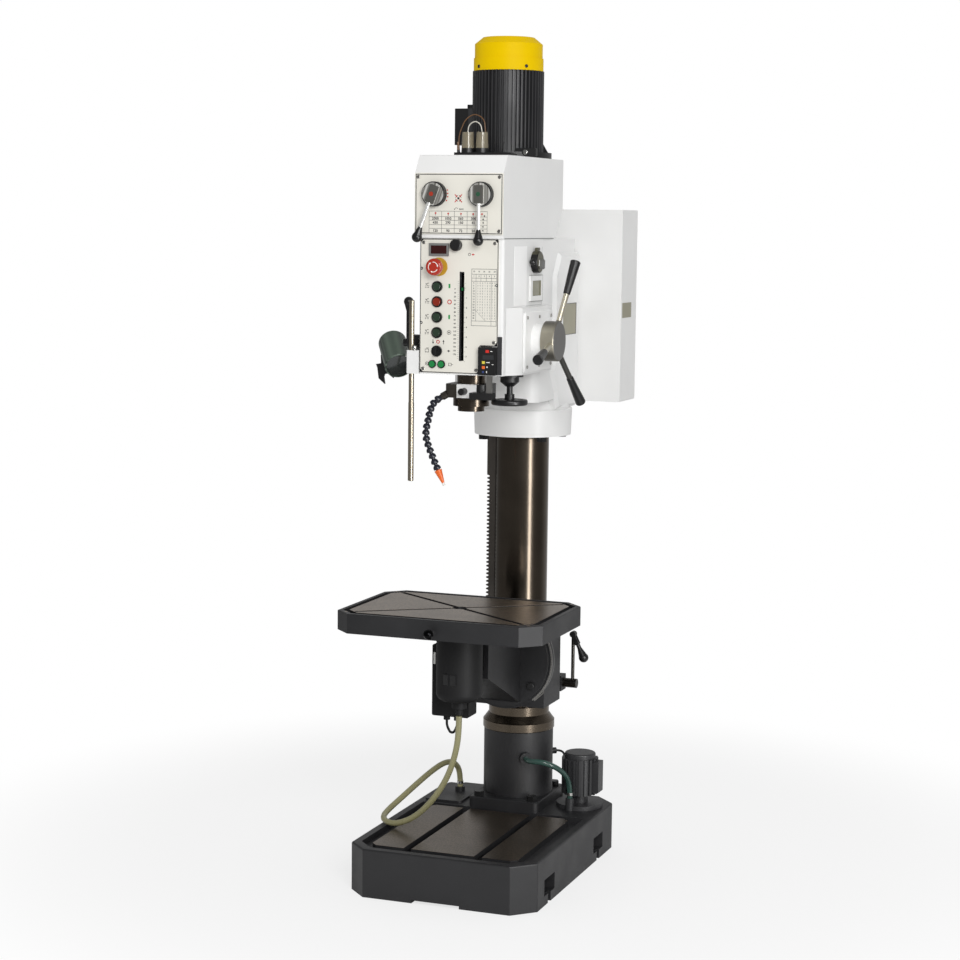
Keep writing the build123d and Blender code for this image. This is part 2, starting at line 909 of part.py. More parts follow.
# Crank handle: a grip on a fork that folds down from the crank's eye
handle_start = Vector(crank_x, wheel_y, crank_end)
handle_way = Vector(*handle_dir).normalized()
fork_plane = Plane(origin=handle_start, x_dir=handle_way, z_dir=(0, 1, 0))
fork_out = crank_r + gap + fork_t
with BuildPart() as crank_handle:
    bar_y(crank_x, wheel_y - fork_out, wheel_y + fork_out, crank_end, crank_pin_r)
    for side in (-1, 1):
        with BuildSketch(fork_plane.offset(side * (crank_r + gap))):
            Circle(crank_eye_r)
            with Locations((fork_reach / 2, 0)):
                Rectangle(fork_reach, 2 * handle_rod_r)
        extrude(amount=side * fork_t)
    with BuildSketch(fork_plane):
        with Locations((fork_reach + fork_t, 0)):
            Rectangle(2 * fork_t, 2 * handle_rod_r)
    extrude(amount=fork_out, both=True)
    bar(handle_start + handle_way * fork_reach, handle_way, handle_len - handle_knob_len - fork_reach, handle_rod_r)
    knob_start = handle_start + handle_way * (handle_len - handle_knob_len)
    teardrop(knob_start, handle_way, handle_knob_len, handle_knob_r, handle_rod_r)
crank_handle.part.label = "crank_handle"
export_step(crank_handle.part, "parts/crank_handle.step")

# Table: a rimmed plate with diagonal T-slots, carried by a web on the tilt disc
table_c = -(table_front + table_back) / 2
table_d = table_front - table_back
table_under = table_top - table_h
disc_back = -arm_face - gap
disc_front = disc_back - disc_t
web_front = table_c + pot_flange_r + gap
diagonal = Vector(table_w - 2 * gutter_inset, table_d - 2 * gutter_inset)
diag_angle = diagonal.get_angle(Vector(1, 0))
diag_len = diagonal.length - 2 * table_chamfer
with BuildPart() as table:
    with BuildSketch(Plane.XY.offset(table_under)):
        with Locations((0, table_c)):
            Rectangle(table_w, table_d)
        chamfer(vertices(), table_chamfer)
    extrude(amount=table_h)
    fillet(edges().group_by(Axis.Z)[-1], table_round)
    with BuildSketch(Plane.XY.offset(table_top)):
        with Locations((0, table_c)):
            Rectangle(table_w - 2 * gutter_inset, table_d - 2 * gutter_inset)
        chamfer(vertices(), table_chamfer - gutter_inset / 2)
        bed_in = gutter_inset + gutter_w
        with BuildSketch(mode=Mode.PRIVATE) as plateau:
            with Locations((0, table_c)):
                Rectangle(table_w - 2 * bed_in, table_d - 2 * bed_in)
            chamfer(vertices(), table_chamfer - bed_in / 2)
        add(plateau.sketch, mode=Mode.SUBTRACT)
    extrude(amount=-table_gutter_d, mode=Mode.SUBTRACT)
    for turn in (diag_angle, -diag_angle):
        slot_mid = table_top - diag_slot_d / 2
        with Locations(Location((0, table_c, slot_mid), (0, 0, turn))):
            Box(diag_len, diag_slot_w, diag_slot_d, mode=Mode.SUBTRACT)
        with Locations(Location((0, table_c, table_top - diag_slot_d - diag_tee_h / 2), (0, 0, turn))):
            Box(diag_len, diag_tee_w, diag_tee_h, mode=Mode.SUBTRACT)
    for side in (-1, 1):
        near = side * keel_half_w
        far = side * (table_w / 2 - pocket_wall)
        with BuildSketch(Plane.XY.offset(table_under)):
            with Locations(((near + far) / 2, table_c)):
                Rectangle(abs(far - near), table_d - 2 * pocket_wall)
            chamfer(vertices(), table_chamfer - pocket_wall / 2)
        extrude(amount=table_h - pocket_roof, mode=Mode.SUBTRACT)
    post(0, table_c, table_under, table_top, table_bore_r, Mode.SUBTRACT)
    bar_y(0, disc_front, disc_back, tilt_z, disc_r)
    with BuildSketch(Plane.YZ):
        Polygon(
            (disc_back - gap, web_low),
            (web_front, web_front_low),
            (web_front, table_under),
            (disc_back - gap, table_under),
            align=None,
        )
    extrude(amount=web_half_w, both=True)
    with BuildSketch(Plane.YZ):
        Polygon(
            (disc_front - web_wall, web_low + 2 * web_wall),
            (web_front, web_front_low + web_wall),
            (web_front, table_under),
            (disc_front - web_wall, table_under),
            align=None,
        )
    extrude(amount=web_half_w - web_wall, both=True, mode=Mode.SUBTRACT)
    bar_y(0, disc_front - web_wall, disc_back, tilt_z, web_bolt_r + fit, Mode.SUBTRACT)
table.part.label = "table"
export_step(table.part, "parts/table.step")

# Table fittings: the tilt bolt with its washer head, and the ball knob on the front rim
with BuildPart() as table_fittings:
    bolt_tail = -column_r - 2 * web_bolt_head_h
    bar_y(0, disc_front - web_wall - web_bolt_head_h, bolt_tail, tilt_z, web_bolt_r)
    bar_y(0, disc_front - web_wall - web_bolt_head_h, disc_front - web_wall, tilt_z, web_bolt_head_r)
    ball_z = table_top - ball_drop
    bar_y(0, -table_front - ball_reach, -table_front, ball_z, ball_stem_r)
    with Locations((0, -table_front - ball_reach, ball_z)):
        Sphere(ball_r)
table_fittings.part.label = "table_fittings"
export_step(table_fittings.part, "parts/table_fittings.step")

# Catch pot: a cup under the table's centre drain
pot_top = table_under
with BuildPart() as pot_inside:
    post(0, table_c, pot_bottom + pot_wall, pot_top, pot_r - pot_wall)
    fillet(edges().group_by(Axis.Z)[0], pot_round - pot_wall)
with BuildPart() as catch_pot:
    post(0, table_c, pot_bottom, pot_top, pot_r)
    fillet(edges().group_by(Axis.Z)[0], pot_round)
    post(0, table_c, pot_top - pot_flange_t, pot_top, pot_flange_r)
    add(pot_inside.part, mode=Mode.SUBTRACT)
    with Locations((0, table_c, pot_bottom - drain_nut_h)):
        Cylinder(drain_nut_r, drain_nut_h + pot_wall / 2, align=floor_up)
    post(0, table_c, pot_bottom - 2 * drain_nut_h + pot_wall, pot_bottom, drain_nut_r / 2)
    post(0, table_c, pot_bottom - 2 * drain_nut_h, pot_bottom + pot_wall, drain_r, Mode.SUBTRACT)
catch_pot.part.label = "catch_pot"
export_step(catch_pot.part, "parts/catch_pot.step")

# Switch box: an L-shaped box on the web's left side, with two cable glands
with BuildPart() as switch_box:
    block(-box_left, -web_half_w, -box_front, -box_back, box_bottom, box_top)
    block(-box_left, box_right, -box_front, -box_back, box_bottom, box_step)
    fillet(edges().filter_by(Axis.Y), base_round)
    box_mid = -(box_front + box_back) / 2
    for x in gland_xs:
        post(x, box_mid, box_bottom - gland_h, box_bottom, gland_r)
        post(x, box_mid, box_bottom - gland_h, box_bottom, box_cable_r + fit, Mode.SUBTRACT)

# Its cable is a short loop between the two glands
loop_points = [
    (gland_xs[0], box_mid, box_bottom),
    (gland_xs[0], box_mid, 428),
    (gland_xs[0] + 10, box_mid, 410),
    (gland_xs[1] - 10, box_mid, 410),
    (gland_xs[1], box_mid, 428),
    (gland_xs[1], box_mid, box_bottom),
]
with BuildPart() as box_cable:
    hose("box_cable", loop_points, box_cable_r)
switch_box_group = Compound(children=[switch_box.part.solid(), box_cable.part.solid()])
switch_box_group.label = "switch_box"
export_step(switch_box_group, "parts/switch_box.step")

# Drain hose: from the catch pot down over the bed, round the base's left rim to the tank cover
drain_start = pot_bottom - 2 * drain_nut_h
rest_z = base_h + drain_hose_r + gap
drain_points = [
    (0, table_c, drain_start),
    (0, table_c, drain_start - 52),
    (-16, table_c + 12, 358),
    (-46, -450, 289),
    (-92, -440, 222),
    (-144, -431, 171),
    (-200, -422, rest_z + 4),
    (-240, -408, rest_z + 2),
    (-265, -372, rest_z + 6),
    (-270, -316, base_h + 21),
    (-258, -255, base_h + 39),
    (-240, -190, base_h + 64),
    (-219, -124, base_h + 90),
    (-201, -66, base_h + 105),
    (-187, -26, base_h + 97),
    (fitting_x, fitting_y, base_h + 65),
    (fitting_x, fitting_y, fitting_top),
]
with BuildPart() as drain_hose:
    hose("drain_hose", drain_points, drain_hose_r, drain_hose_r - drain_wall)
drain_hose.part.label = "drain_hose"
export_step(drain_hose.part, "parts/drain_hose.step")

# Coolant pump: a ribbed motor on a plate, with its leg down in the tank
pump_base = base_h + pump_plate_t
pump_low = pump_base + pump_stem_h
pump_high = pump_low + pump_body_h
pump_gland_dir = Vector(-0.76, 0.65, 0)
pump_gland_z = base_h + pump_gland_up
outlet_x = pump_x - outlet_side
outlet_y = pump_y - outlet_ahead
outlet_top = base_h + outlet_h
with BuildPart() as pump_body:
    post(pump_x, pump_y, base_h, pump_base, pump_plate_r)
    post(pump_x, pump_y, pump_base, pump_low, pump_stem_r)
    post(pump_x, pump_y, pump_low, pump_high, pump_core_r)
    for rib in range(pump_ribs):
        turn = 360 * rib / pump_ribs
        with Locations(Location((pump_x, pump_y, pump_low), (0, 0, turn))):
            rib_align = (Align.MIN, Align.CENTER, Align.MIN)
            Box(pump_rib_r, pump_rib_t, pump_body_h, align=rib_align)
    post(pump_x, pump_y, pump_high, pump_high + pump_cap_h, pump_cap_r)
    fillet(edges().group_by(Axis.Z)[-1], pump_cap_h / 3)
    box_y = (pump_y - pump_box_half, pump_y + pump_box_half)
    box_z = (pump_low + pump_box_in, pump_high - pump_box_in)
    block(pump_x, pump_x + pump_rib_r + pump_box_out, *box_y, *box_z)
    post(pump_x, pump_y, pump_leg_low, base_h, pump_leg_r)
    gland_root = Vector(pump_x, pump_y, pump_gland_z) + pump_gland_dir * pump_core_r / 2
    bar(gland_root, pump_gland_dir, pump_core_r / 2 + gland_h, gland_r)
    post(outlet_x, outlet_y, base_h, outlet_top, outlet_r)
    post(outlet_x, outlet_y, pump_base, outlet_top, supply_hose_r - supply_wall, Mode.SUBTRACT)
    post(pump_x, pump_y, pump_leg_low, pump_high - pump_wall, pump_shaft_r + run, Mode.SUBTRACT)
    post(pump_x, pump_y, pump_low + pump_wall, pump_high - pump_wall, pump_core_r - pump_wall, Mode.SUBTRACT)
    post(pump_x, pump_y, pump_leg_low, pump_leg_low + 2 * impeller_t, impeller_r + gap, Mode.SUBTRACT)
pump_body.part.label = "pump_body"
export_step(pump_body.part, "parts/pump_body.step")

# Pump rotor: armature, shaft and impeller
pump_armature_z = pump_low + pump_wall + (pump_body_h - 2 * pump_wall - pump_rotor_h) / 2
with BuildPart() as pump_rotor:
    post(pump_x, pump_y, pump_leg_low + impeller_t / 2, pump_high - pump_wall - gap, pump_shaft_r)
    post(pump_x, pump_y, pump_leg_low + impeller_t / 2, pump_leg_low + 1.5 * impeller_t, impeller_r)
    post(pump_x, pump_y, pump_armature_z, pump_armature_z + pump_rotor_h, pump_rotor_r)
pump_rotor.part.label = "pump_rotor"
export_step(pump_rotor.part, "parts/pump_rotor.step")

# Supply hose: from the pump's outlet to the port on the column foot
port_end = port_dir * (foot_r + port_len) + Vector(0, 0, port_z)
supply_points = [
    tuple(port_end),
    tuple(port_end + port_dir * 34),
    (124, -146, port_z + 8),
    (168, -112, port_z - 18),
    (outlet_x, outlet_y, outlet_top + 44),
    (outlet_x, outlet_y, outlet_top),
]
with BuildPart() as supply_hose:
    hose("supply_hose", supply_points, supply_hose_r, supply_hose_r - supply_wall)
supply_hose.part.label = "supply_hose"
export_step(supply_hose.part, "parts/supply_hose.step")

# Pump cable: from the gland on the foot to the gland on the pump
foot_gland_end = foot_gland_dir * (foot_r + gland_h) + Vector(0, 0, gland_z)
pump_gland_end = Vector(pump_x, pump_y, pump_gland_z) + pump_gland_dir * (pump_core_r + gland_h)
cable_points = [
    tuple(foot_gland_end),
    tuple(foot_gland_end + foot_gland_dir * 22),
    tuple(foot_gland_end + foot_gland_dir * 30 + Vector(0, 0, -30)),
    tuple(pump_gland_end + pump_gland_dir * 26 + Vector(0, 0, 32)),
    tuple(pump_gland_end + pump_gland_dir * 20),
    tuple(pump_gland_end),
]
with BuildPart() as pump_cable:
    hose("pump_cable", cable_points, pump_cable_r)
pump_cable.part.label = "pump_cable"
export_step(pump_cable.part, "parts/pump_cable.step")

# Head body: the column socket, neck, front block and feed box in one casting
flange_top = flange_bottom + flange_h
cavity_low = head_bottom + head_floor
window_low = lower_panel_low + panel_land_low
web_low_z = head_top - head_web
panel_back = -head_front
shaft_bores = ((spindle_y, sleeve_bearing_r), (layshaft_y, lay_bearing_r))
with BuildPart() as head_body:
    with Locations((0, 0, flange_bottom)):
        Cone(flange_low_r, flange_top_r, flange_h, align=floor_up)
    fillet(edges().group_by(Axis.Z)[-1], flange_step / 2)
    with Locations((0, 0, flange_top)):
        Cone(flange_top_r - flange_step, neck_half_w, flare_h, align=floor_up)
    with BuildSketch(Plane.XY.offset(flange_top + flare_h / 2)):
        with Locations((0, (neck_back - neck_front) / 2)):
            RectangleRounded(2 * neck_half_w, neck_front + neck_back, neck_round)
    extrude(amount=head_top - flange_top - flare_h / 2)
    with BuildSketch(Plane.XY.offset(head_bottom)):
        with Locations(((head_right - head_left) / 2, -(head_front + feedbox_back) / 2)):
            Rectangle(head_right + head_left, head_front - feedbox_back)
        fillet(vertices().sort_by(Axis.Y)[:2], head_round)
    extrude(amount=head_top - head_bottom)
    with BuildSketch(Plane.XY.offset(head_bottom)):
        Polygon(
            (notch_left, -head_front),
            (lower_panel_half_w, -head_front),
            (feedbox_right, -feedbox_front),
            (feedbox_right, -feedbox_back),
            (neck_half_w, -feedbox_back + feedbox_right - neck_half_w),
            (notch_left, -feedbox_back + feedbox_right - neck_half_w),
            align=None,
        )
    extrude(amount=feedbox_top - head_bottom)
    inside = (-head_left + head_wall, head_right - head_right_wall)
    block(*inside, -head_front + head_wall, -cavity_back, cavity_low, web_low_z, Mode.SUBTRACT)
    window = lower_panel_half_w - panel_land
    block(-window, window, panel_back, panel_back + head_wall, window_low, head_top - head_wall, Mode.SUBTRACT)
    post(0, spindle_y, head_bottom, quill_tube_top, quill_tube_r)
    post(0, spindle_y, head_bottom, quill_tube_top, quill_r + run, Mode.SUBTRACT)
    slot_half = depth_w / 2 + slot_room
    tube_slot = (depth_x - slot_half, depth_x + slot_half)
    block(*tube_slot, spindle_y - quill_tube_r, spindle_y, depth_low - depth_over, quill_tube_top, Mode.SUBTRACT)
    pinion_half = feed_pinion_w / 2 + gap
    bar_x(-pinion_half, pinion_half, feed_y, feed_z, feed_pinion_r + gap, Mode.SUBTRACT)
    bar_x(-feed_tail - gap, feedbox_right, feed_y, feed_z, feed_shaft_r + run, Mode.SUBTRACT)
    wheel_room_x = feed_wheel_x - feed_wheel_w / 2 - gap
    bar_x(wheel_room_x, feedbox_right, feed_y, feed_z, feed_wheel_r + gap, Mode.SUBTRACT)
    post(feed_wheel_x, hand_y, head_bottom, feedbox_top - head_wall, hand_worm_r + gap, Mode.SUBTRACT)
    block(-flange_top_r, flange_top_r, neck_back, flange_top_r, cabinet_low - gap, head_top, Mode.SUBTRACT)
    post(0, 0, flange_bottom, column_top, column_r + fit, Mode.SUBTRACT)
    for y, radius in shaft_bores:
        post(0, y, web_low_z, head_top, radius + fit, Mode.SUBTRACT)
    beam_half_w = scale_w / 2 + slot_room
    beam_half_t = scale_t / 2 + slot_room
    beam = (scale_x - beam_half_w, scale_x + beam_half_w)
    block(*beam, scale_y - beam_half_t, scale_y + beam_half_t, head_bottom, window_low, Mode.SUBTRACT)
    bar_x(-head_left, -head_left + head_wall, quill_lock_y, quill_lock_z, quill_lock_shaft_r + run, Mode.SUBTRACT)
    bar_x(head_right - 2 * head_wall, head_right, side_sel_y, side_sel_z, side_sel_shaft_r + run, Mode.SUBTRACT)
    for turn in range(4):
        angle = radians(45 + 90 * turn)
        spot = (ring_bolt_r * cos(angle), ring_bolt_r * sin(angle))
        post(*spot, flange_bottom, flange_bottom + 2 * bolt_head_h, bolt_r + fit, Mode.SUBTRACT)
head_body.part.label = "head_body"
export_step(head_body.part, "parts/head_body.step")

# Gear case: the closed cover on the head with bearing bosses under its roof
case_roof = case_top - case_wall
boss_low = case_roof - bearing_t
with BuildPart() as gear_case:
    with BuildSketch(Plane.YZ):
        Polygon(
            (-case_front, head_top),
            (-case_front, case_bevel_z),
            (-case_bevel_y, case_top),
            (-case_back, case_top),
            (-case_back, case_step_z),
            (-case_step_y, head_top),
            align=None,
        )
    extrude(amount=case_half_w, both=True)
    fillet(edges().filter_by(Axis.X).group_by(Axis.Z)[-1], case_round)
    with BuildSketch(Plane.YZ):
        Polygon(
            (-case_front + case_wall, head_top),
            (-case_front + case_wall, case_bevel_z - case_wall / 2),
            (-case_bevel_y + case_wall / 2, case_roof),
            (-case_back - case_wall, case_roof),
            (-case_back - case_wall, case_step_z + case_wall / 2),
            (-case_step_y - case_wall, head_top),
            align=None,
        )
    extrude(amount=case_half_w - case_wall, both=True, mode=Mode.SUBTRACT)
    for y, radius in shaft_bores:
        post(0, y, boss_low, case_roof, radius + bearing_boss)
        post(0, y, boss_low, case_roof, radius + fit, Mode.SUBTRACT)
    post(0, motor_y, case_roof, case_top, motor_gear_r + motor_gear_room, Mode.SUBTRACT)
    for side in (-1, 1):
        bar_y(side * lever_x, -case_front, -case_front + case_wall, lever_z, lever_shaft_r + run, Mode.SUBTRACT)
gear_case.part.label = "gear_case"
export_step(gear_case.part, "parts/gear_case.step")

# Gear bearings: rings in the web and under the case roof for the spindle sleeve and the layshaft
with BuildPart() as gear_bearings:
    for z0 in (web_low_z, boss_low):
        for y, radius, bore in ((spindle_y, sleeve_bearing_r, sleeve_r), (layshaft_y, lay_bearing_r, lay_shaft_r)):
            post(0, y, z0, z0 + bearing_t, radius)
            post(0, y, z0, z0 + bearing_t, bore + run, Mode.SUBTRACT)
gear_bearings.part.label = "gear_bearings"
export_step(gear_bearings.part, "parts/gear_bearings.step")

# Layshaft: two gears on a short upright shaft
with BuildPart() as layshaft:
    post(0, layshaft_y, web_low_z, boss_low + bearing_t - gap, lay_shaft_r)
    for z0, radius in ((gear_low_z, lay_small_r), (gear_high_z, lay_big_r)):
        with BuildSketch(Plane.XY.offset(z0)):
            with Locations((0, layshaft_y)):
                gear_face(radius, lay_teeth)
        extrude(amount=gear_t)
layshaft.part.label = "layshaft"
export_step(layshaft.part, "parts/layshaft.step")

# Spindle sleeve: the driven gear on a hub that the spindle slides through
with BuildPart() as spindle_sleeve:
    post(0, spindle_y, web_low_z, boss_low + bearing_t - gap, sleeve_r)
    with BuildSketch(Plane.XY.offset(gear_low_z)):
        with Locations((0, spindle_y)):
            gear_face(spindle_gear_r, spindle_teeth)
    extrude(amount=gear_t)
    post(0, spindle_y, web_low_z, boss_low + bearing_t, spindle_r + run, Mode.SUBTRACT)
spindle_sleeve.part.label = "spindle_sleeve"
export_step(spindle_sleeve.part, "parts/spindle_sleeve.step")

# Quill: the sliding barrel with rack teeth on its rear
pointer_root = spindle_y - quill_r + 3 * pointer_r
quill_teeth = int((quill_top - quill_low - 2 * quill_rack_in) / quill_rack_pitch)
with BuildPart() as quill:
    post(0, spindle_y, quill_low, quill_top, quill_r)
    post(0, spindle_y, quill_low, quill_top, spindle_low_r + spindle_room, Mode.SUBTRACT)
    for z0 in (quill_low, quill_top - quill_bearing_t):
        post(0, spindle_y, z0, z0 + quill_bearing_t, quill_bearing_r + fit, Mode.SUBTRACT)
    bar_y(depth_x, spindle_y - quill_r, pointer_root, pointer_z, pointer_r + fit, Mode.SUBTRACT)
    for tooth in range(quill_teeth):
        z0 = quill_low + quill_rack_in + tooth * quill_rack_pitch
        back = spindle_y + quill_r
        cut_y = (back - quill_rack_d, back)
        block(-quill_rack_half, quill_rack_half, *cut_y, z0, z0 + quill_rack_pitch / 2, Mode.SUBTRACT)
quill.part.label = "quill"
export_step(quill.part, "parts/quill.step")

# Quill bearings: the rings that carry the spindle
with BuildPart() as quill_bearings:
    for z0, bore in ((quill_low, spindle_low_r), (quill_top - quill_bearing_t, spindle_r)):
        post(0, spindle_y, z0, z0 + quill_bearing_t, quill_bearing_r)
        post(0, spindle_y, z0, z0 + quill_bearing_t, bore + run, Mode.SUBTRACT)
quill_bearings.part.label = "quill_bearings"
export_step(quill_bearings.part, "parts/quill_bearings.step")

# Spindle: the shaft with its collar and bored nose
collar_low = quill_low - gap - collar_h
with BuildPart() as spindle:
    post(0, spindle_y, spindle_low, spindle_top, spindle_r)
    post(0, spindle_y, collar_low, quill_low - gap, collar_r)
    post(0, spindle_y, quill_low - gap, quill_low - gap + spindle_low_len, spindle_low_r)
    post(0, spindle_y, spindle_low, collar_low, nose_r)
    post(0, spindle_y, spindle_low, spindle_low + nose_bore_d, nose_bore_r, Mode.SUBTRACT)
spindle.part.label = "spindle"
export_step(spindle.part, "parts/spindle.step")

# Stop clamp: the collar on the quill's foot with its knob, hose nipple and scale lug
nipple_dir = Vector(-0.86, 0, -0.5).normalized()
nipple_start = Vector(-clamp_half_w + nipple_in, hose_y, clamp_low + nipple_up)
lug_top = clamp_low + clamp_h / 2
with BuildPart() as stop_clamp:
    with BuildSketch(Plane.XY.offset(clamp_low)):
        with Locations((0, spindle_y + (clamp_back - clamp_front) / 2)):
            RectangleRounded(2 * clamp_half_w, clamp_front + clamp_back, 2 * clamp_knob_r)
    extrude(amount=clamp_h)
    lug_right = scale_x + scale_w / 2
    lug_back_y = hand_y - handwheel_r - lug_wheel_gap
    block(clamp_half_w / 2, lug_right, -scale_lug_front, lug_back_y, clamp_low, lug_top)
    block(clamp_half_w / 2, clamp_half_w, lug_back_y, spindle_y, clamp_low, lug_top)
    bar(nipple_start, nipple_dir, nipple_len, hose_skirt_r)
    knob_z0 = clamp_low + clamp_h / 2
    knob_face = spindle_y - clamp_front
    bar_y(0, knob_face - clamp_knob_out, knob_face, knob_z0, clamp_knob_r)
    post(0, spindle_y, clamp_low, clamp_low + clamp_h, quill_r + fit, Mode.SUBTRACT)
stop_clamp.part.label = "stop_clamp"
export_step(stop_clamp.part, "parts/stop_clamp.step")

# Coolant hose: ball-and-socket links from the clamp's nipple down to the nozzle
nipple_end = nipple_start + nipple_dir * nipple_len
hose_points = [
    tuple(nipple_end + nipple_dir * hose_joint_pitch),
    (-106, hose_y, 1261),
    (-112, hose_y, 1221),
    (-100, hose_y, 1181),
    (-79, hose_y, 1134),
]
with BuildLine() as hose_path:
    Spline(*hose_points, tangents=[nipple_dir, Vector(0.42, 0, -0.91)])
hose_line = hose_path.wires()[0]
link_count = round(hose_line.length / hose_joint_pitch)
link_ends = [nipple_end]
for step in range(link_count + 1):
    link_ends.append(hose_line @ (step / link_count))


def turned(here, way, profile):
    """The solid that a half profile makes round its own X axis."""
    plane = Plane(origin=here, x_dir=way, z_dir=(0, 1, 0))
    revolve(plane * profile, axis=Axis(here, way))


def hose_link(here, there, first):
    """One link: a ball behind, a socket ahead and a bore through both."""
    way = (there - here).normalized()
    reach = (there - here).length
    with BuildSketch() as profile:
        if first:
            Rectangle(reach / 2, 2 * hose_ball_r, align=ahead)
        else:
            Circle(hose_ball_r)
        Rectangle(reach, 2 * hose_neck_r, align=ahead)
        with Locations((reach, 0)):
            Circle(hose_skirt_r)
            Circle(hose_socket_r, mode=Mode.SUBTRACT)
        with Locations((reach + hose_bore_r, 0)):
            Rectangle(hose_skirt_r, 2 * hose_skirt_r, align=ahead, mode=Mode.SUBTRACT)
        with Locations((-hose_ball_r, hose_bore_r)):
            Rectangle(2 * reach, 2 * hose_skirt_r, align=below, mode=Mode.SUBTRACT)
    with BuildPart() as link:
        turned(here, way, profile.sketch)
    return link.part.solid()


links = []
for step in range(link_count + 1):
    links.append(hose_link(link_ends[step], link_ends[step + 1], step == 0))
nozzle_way = (link_ends[-1] - link_ends[-2]).normalized()
with BuildSketch() as nozzle_profile:
    Circle(hose_ball_r)
    Rectangle(nozzle_neck + nozzle_tip_r, 2 * hose_neck_r, align=ahead)
    Polygon(
        (nozzle_neck, -nozzle_r),
        (nozzle_len, -nozzle_tip_r),
        (nozzle_len, nozzle_tip_r),
        (nozzle_neck, nozzle_r),
        align=None,
    )
    Rectangle(nozzle_len + nozzle_tip_len, 2 * nozzle_tip_r, align=ahead)
    with Locations((-hose_ball_r, nozzle_tip_r / 2)):
        Rectangle(2 * nozzle_len, 2 * nozzle_r, align=below, mode=Mode.SUBTRACT)
with BuildPart() as nozzle:
    turned(link_ends[-1], nozzle_way, nozzle_profile.sketch)
links.append(nozzle.part.solid())
coolant_hose = Compound(children=links)
coolant_hose.label = "coolant_hose"
export_step(coolant_hose, "parts/coolant_hose.step")

# Quill scale: the read-out's beam on the clamp lug
with BuildPart() as dro_scale:
    beam_x = (scale_x - scale_w / 2, scale_x + scale_w / 2)
    block(*beam_x, scale_y - scale_t / 2, scale_y + scale_t / 2, lug_top, scale_top)

# Its depth pointer is the pin from the quill through the panel's slot
panel_face = -head_front - panel_t
with BuildPart() as depth_pointer:
    bar_y(depth_x, panel_face - pointer_tab_t, pointer_root, pointer_z, pointer_r)
    tab_x = (depth_x - pointer_tab_w / 2, depth_x + pointer_tab_w / 2)
    tab_z = (pointer_z - pointer_tab_h / 2, pointer_z + pointer_tab_h / 2)
    block(*tab_x, panel_face - gap - pointer_tab_t, panel_face - gap, *tab_z)
quill_scale = Compound(children=[dro_scale.part.solid(), depth_pointer.part.solid()])
quill_scale.label = "quill_scale"
export_step(quill_scale, "parts/quill_scale.step")

# Upper panel: the plate behind the speed levers
with BuildPart() as upper_panel:
    upper_panel_high = upper_panel_low + upper_panel_h
    upper_face = -case_front - panel_t
    upper_y = (upper_face, -case_front)
    block(-upper_panel_half_w, upper_panel_half_w, *upper_y, upper_panel_low, upper_panel_high)
    fillet(edges().filter_by(Axis.Y), panel_t)
    for side in (-1, 1):
        bar_y(side * lever_x, upper_face, -case_front, lever_z, lever_shaft_r + gap, Mode.SUBTRACT)
upper_panel.part.label = "upper_panel"
export_step(upper_panel.part, "parts/upper_panel.step")

# Lower panel: the control plate, notched for the read-out and slotted for the depth pointer
lower_panel_high = lower_panel_low + lower_panel_h
with BuildPart() as lower_panel:
    lower_y = (panel_face, panel_back)
    block(-lower_panel_half_w, lower_panel_half_w, *lower_y, lower_panel_low, lower_panel_high)
    fillet(edges().filter_by(Axis.Y), panel_t)
    block(notch_left, lower_panel_half_w, panel_face, panel_back, lower_panel_low, notch_top, Mode.SUBTRACT)
    for z in button_zs:
        bar_y(button_x, panel_face, panel_back, z, button_r + gap, Mode.SUBTRACT)
    bar_y(estop_x, panel_face, panel_back, estop_z, estop_stem_r + gap, Mode.SUBTRACT)
    bar_y(button_x, panel_face, panel_back, selector_z, selector_r + gap, Mode.SUBTRACT)
    bar_y(knob_x, panel_face, panel_back, knob_z, knob_stem_r + run, Mode.SUBTRACT)
    block(depth_x - depth_w / 2, depth_x + depth_w / 2, *lower_y, depth_low, depth_top, Mode.SUBTRACT)
lower_panel.part.label = "lower_panel"
export_step(lower_panel.part, "parts/lower_panel.step")

# Panel fittings: bezels, stop plate, display, pilot lamps, read-out box, strip and side window
read_out_face = -head_front - dro_t
with BuildPart() as panel_fittings:
    for z in (*button_zs, selector_z):
        bar_y(button_x, panel_face - bezel_t, panel_face, z, bezel_r)
        bar_y(button_x, panel_face - bezel_t, panel_face, z, button_r + gap, Mode.SUBTRACT)
    bar_y(estop_x, panel_face - estop_plate_t, panel_face, estop_z, estop_plate_r)
    bar_y(estop_x, panel_face - estop_plate_t, panel_face, estop_z, estop_stem_r + gap, Mode.SUBTRACT)
    for x in lamp_xs:
        bar_y(x, panel_face - pilot_bezel_t, panel_face, lamp_z, pilot_bezel_r)
        bar_y(x, panel_face - pilot_out, panel_face, lamp_z, pilot_r)
    frame_x = (display_x - display_w / 2, display_x + display_w / 2)
    frame_z = (display_z - display_h / 2, display_z + display_h / 2)
    block(*frame_x, panel_face - display_t, panel_face, *frame_z)
    glass_x = (frame_x[0] + display_edge, frame_x[1] - display_edge)
    glass_z = (frame_z[0] + display_edge, frame_z[1] - display_edge)
    block(*glass_x, panel_face - display_t, panel_face - display_t / 2, *glass_z, Mode.SUBTRACT)
    block(dro_left, lower_panel_half_w, read_out_face, panel_back, dro_low, dro_top)
    block(lower_panel_half_w, strip_right, panel_face, panel_back, dro_low, strip_top)
    pane_y = (window_y - window_w / 2, window_y + window_w / 2)
    pane_z = (window_z - window_h / 2, window_z + window_h / 2)
    block(head_right, head_right + window_t, *pane_y, *pane_z)
    sight_y = (pane_y[0] + window_edge, pane_y[1] - window_edge)
    sight_z = (pane_z[0] + window_edge, pane_z[1] - window_edge)
    block(head_right + window_t / 2, head_right + window_t, *sight_y, *sight_z, Mode.SUBTRACT)
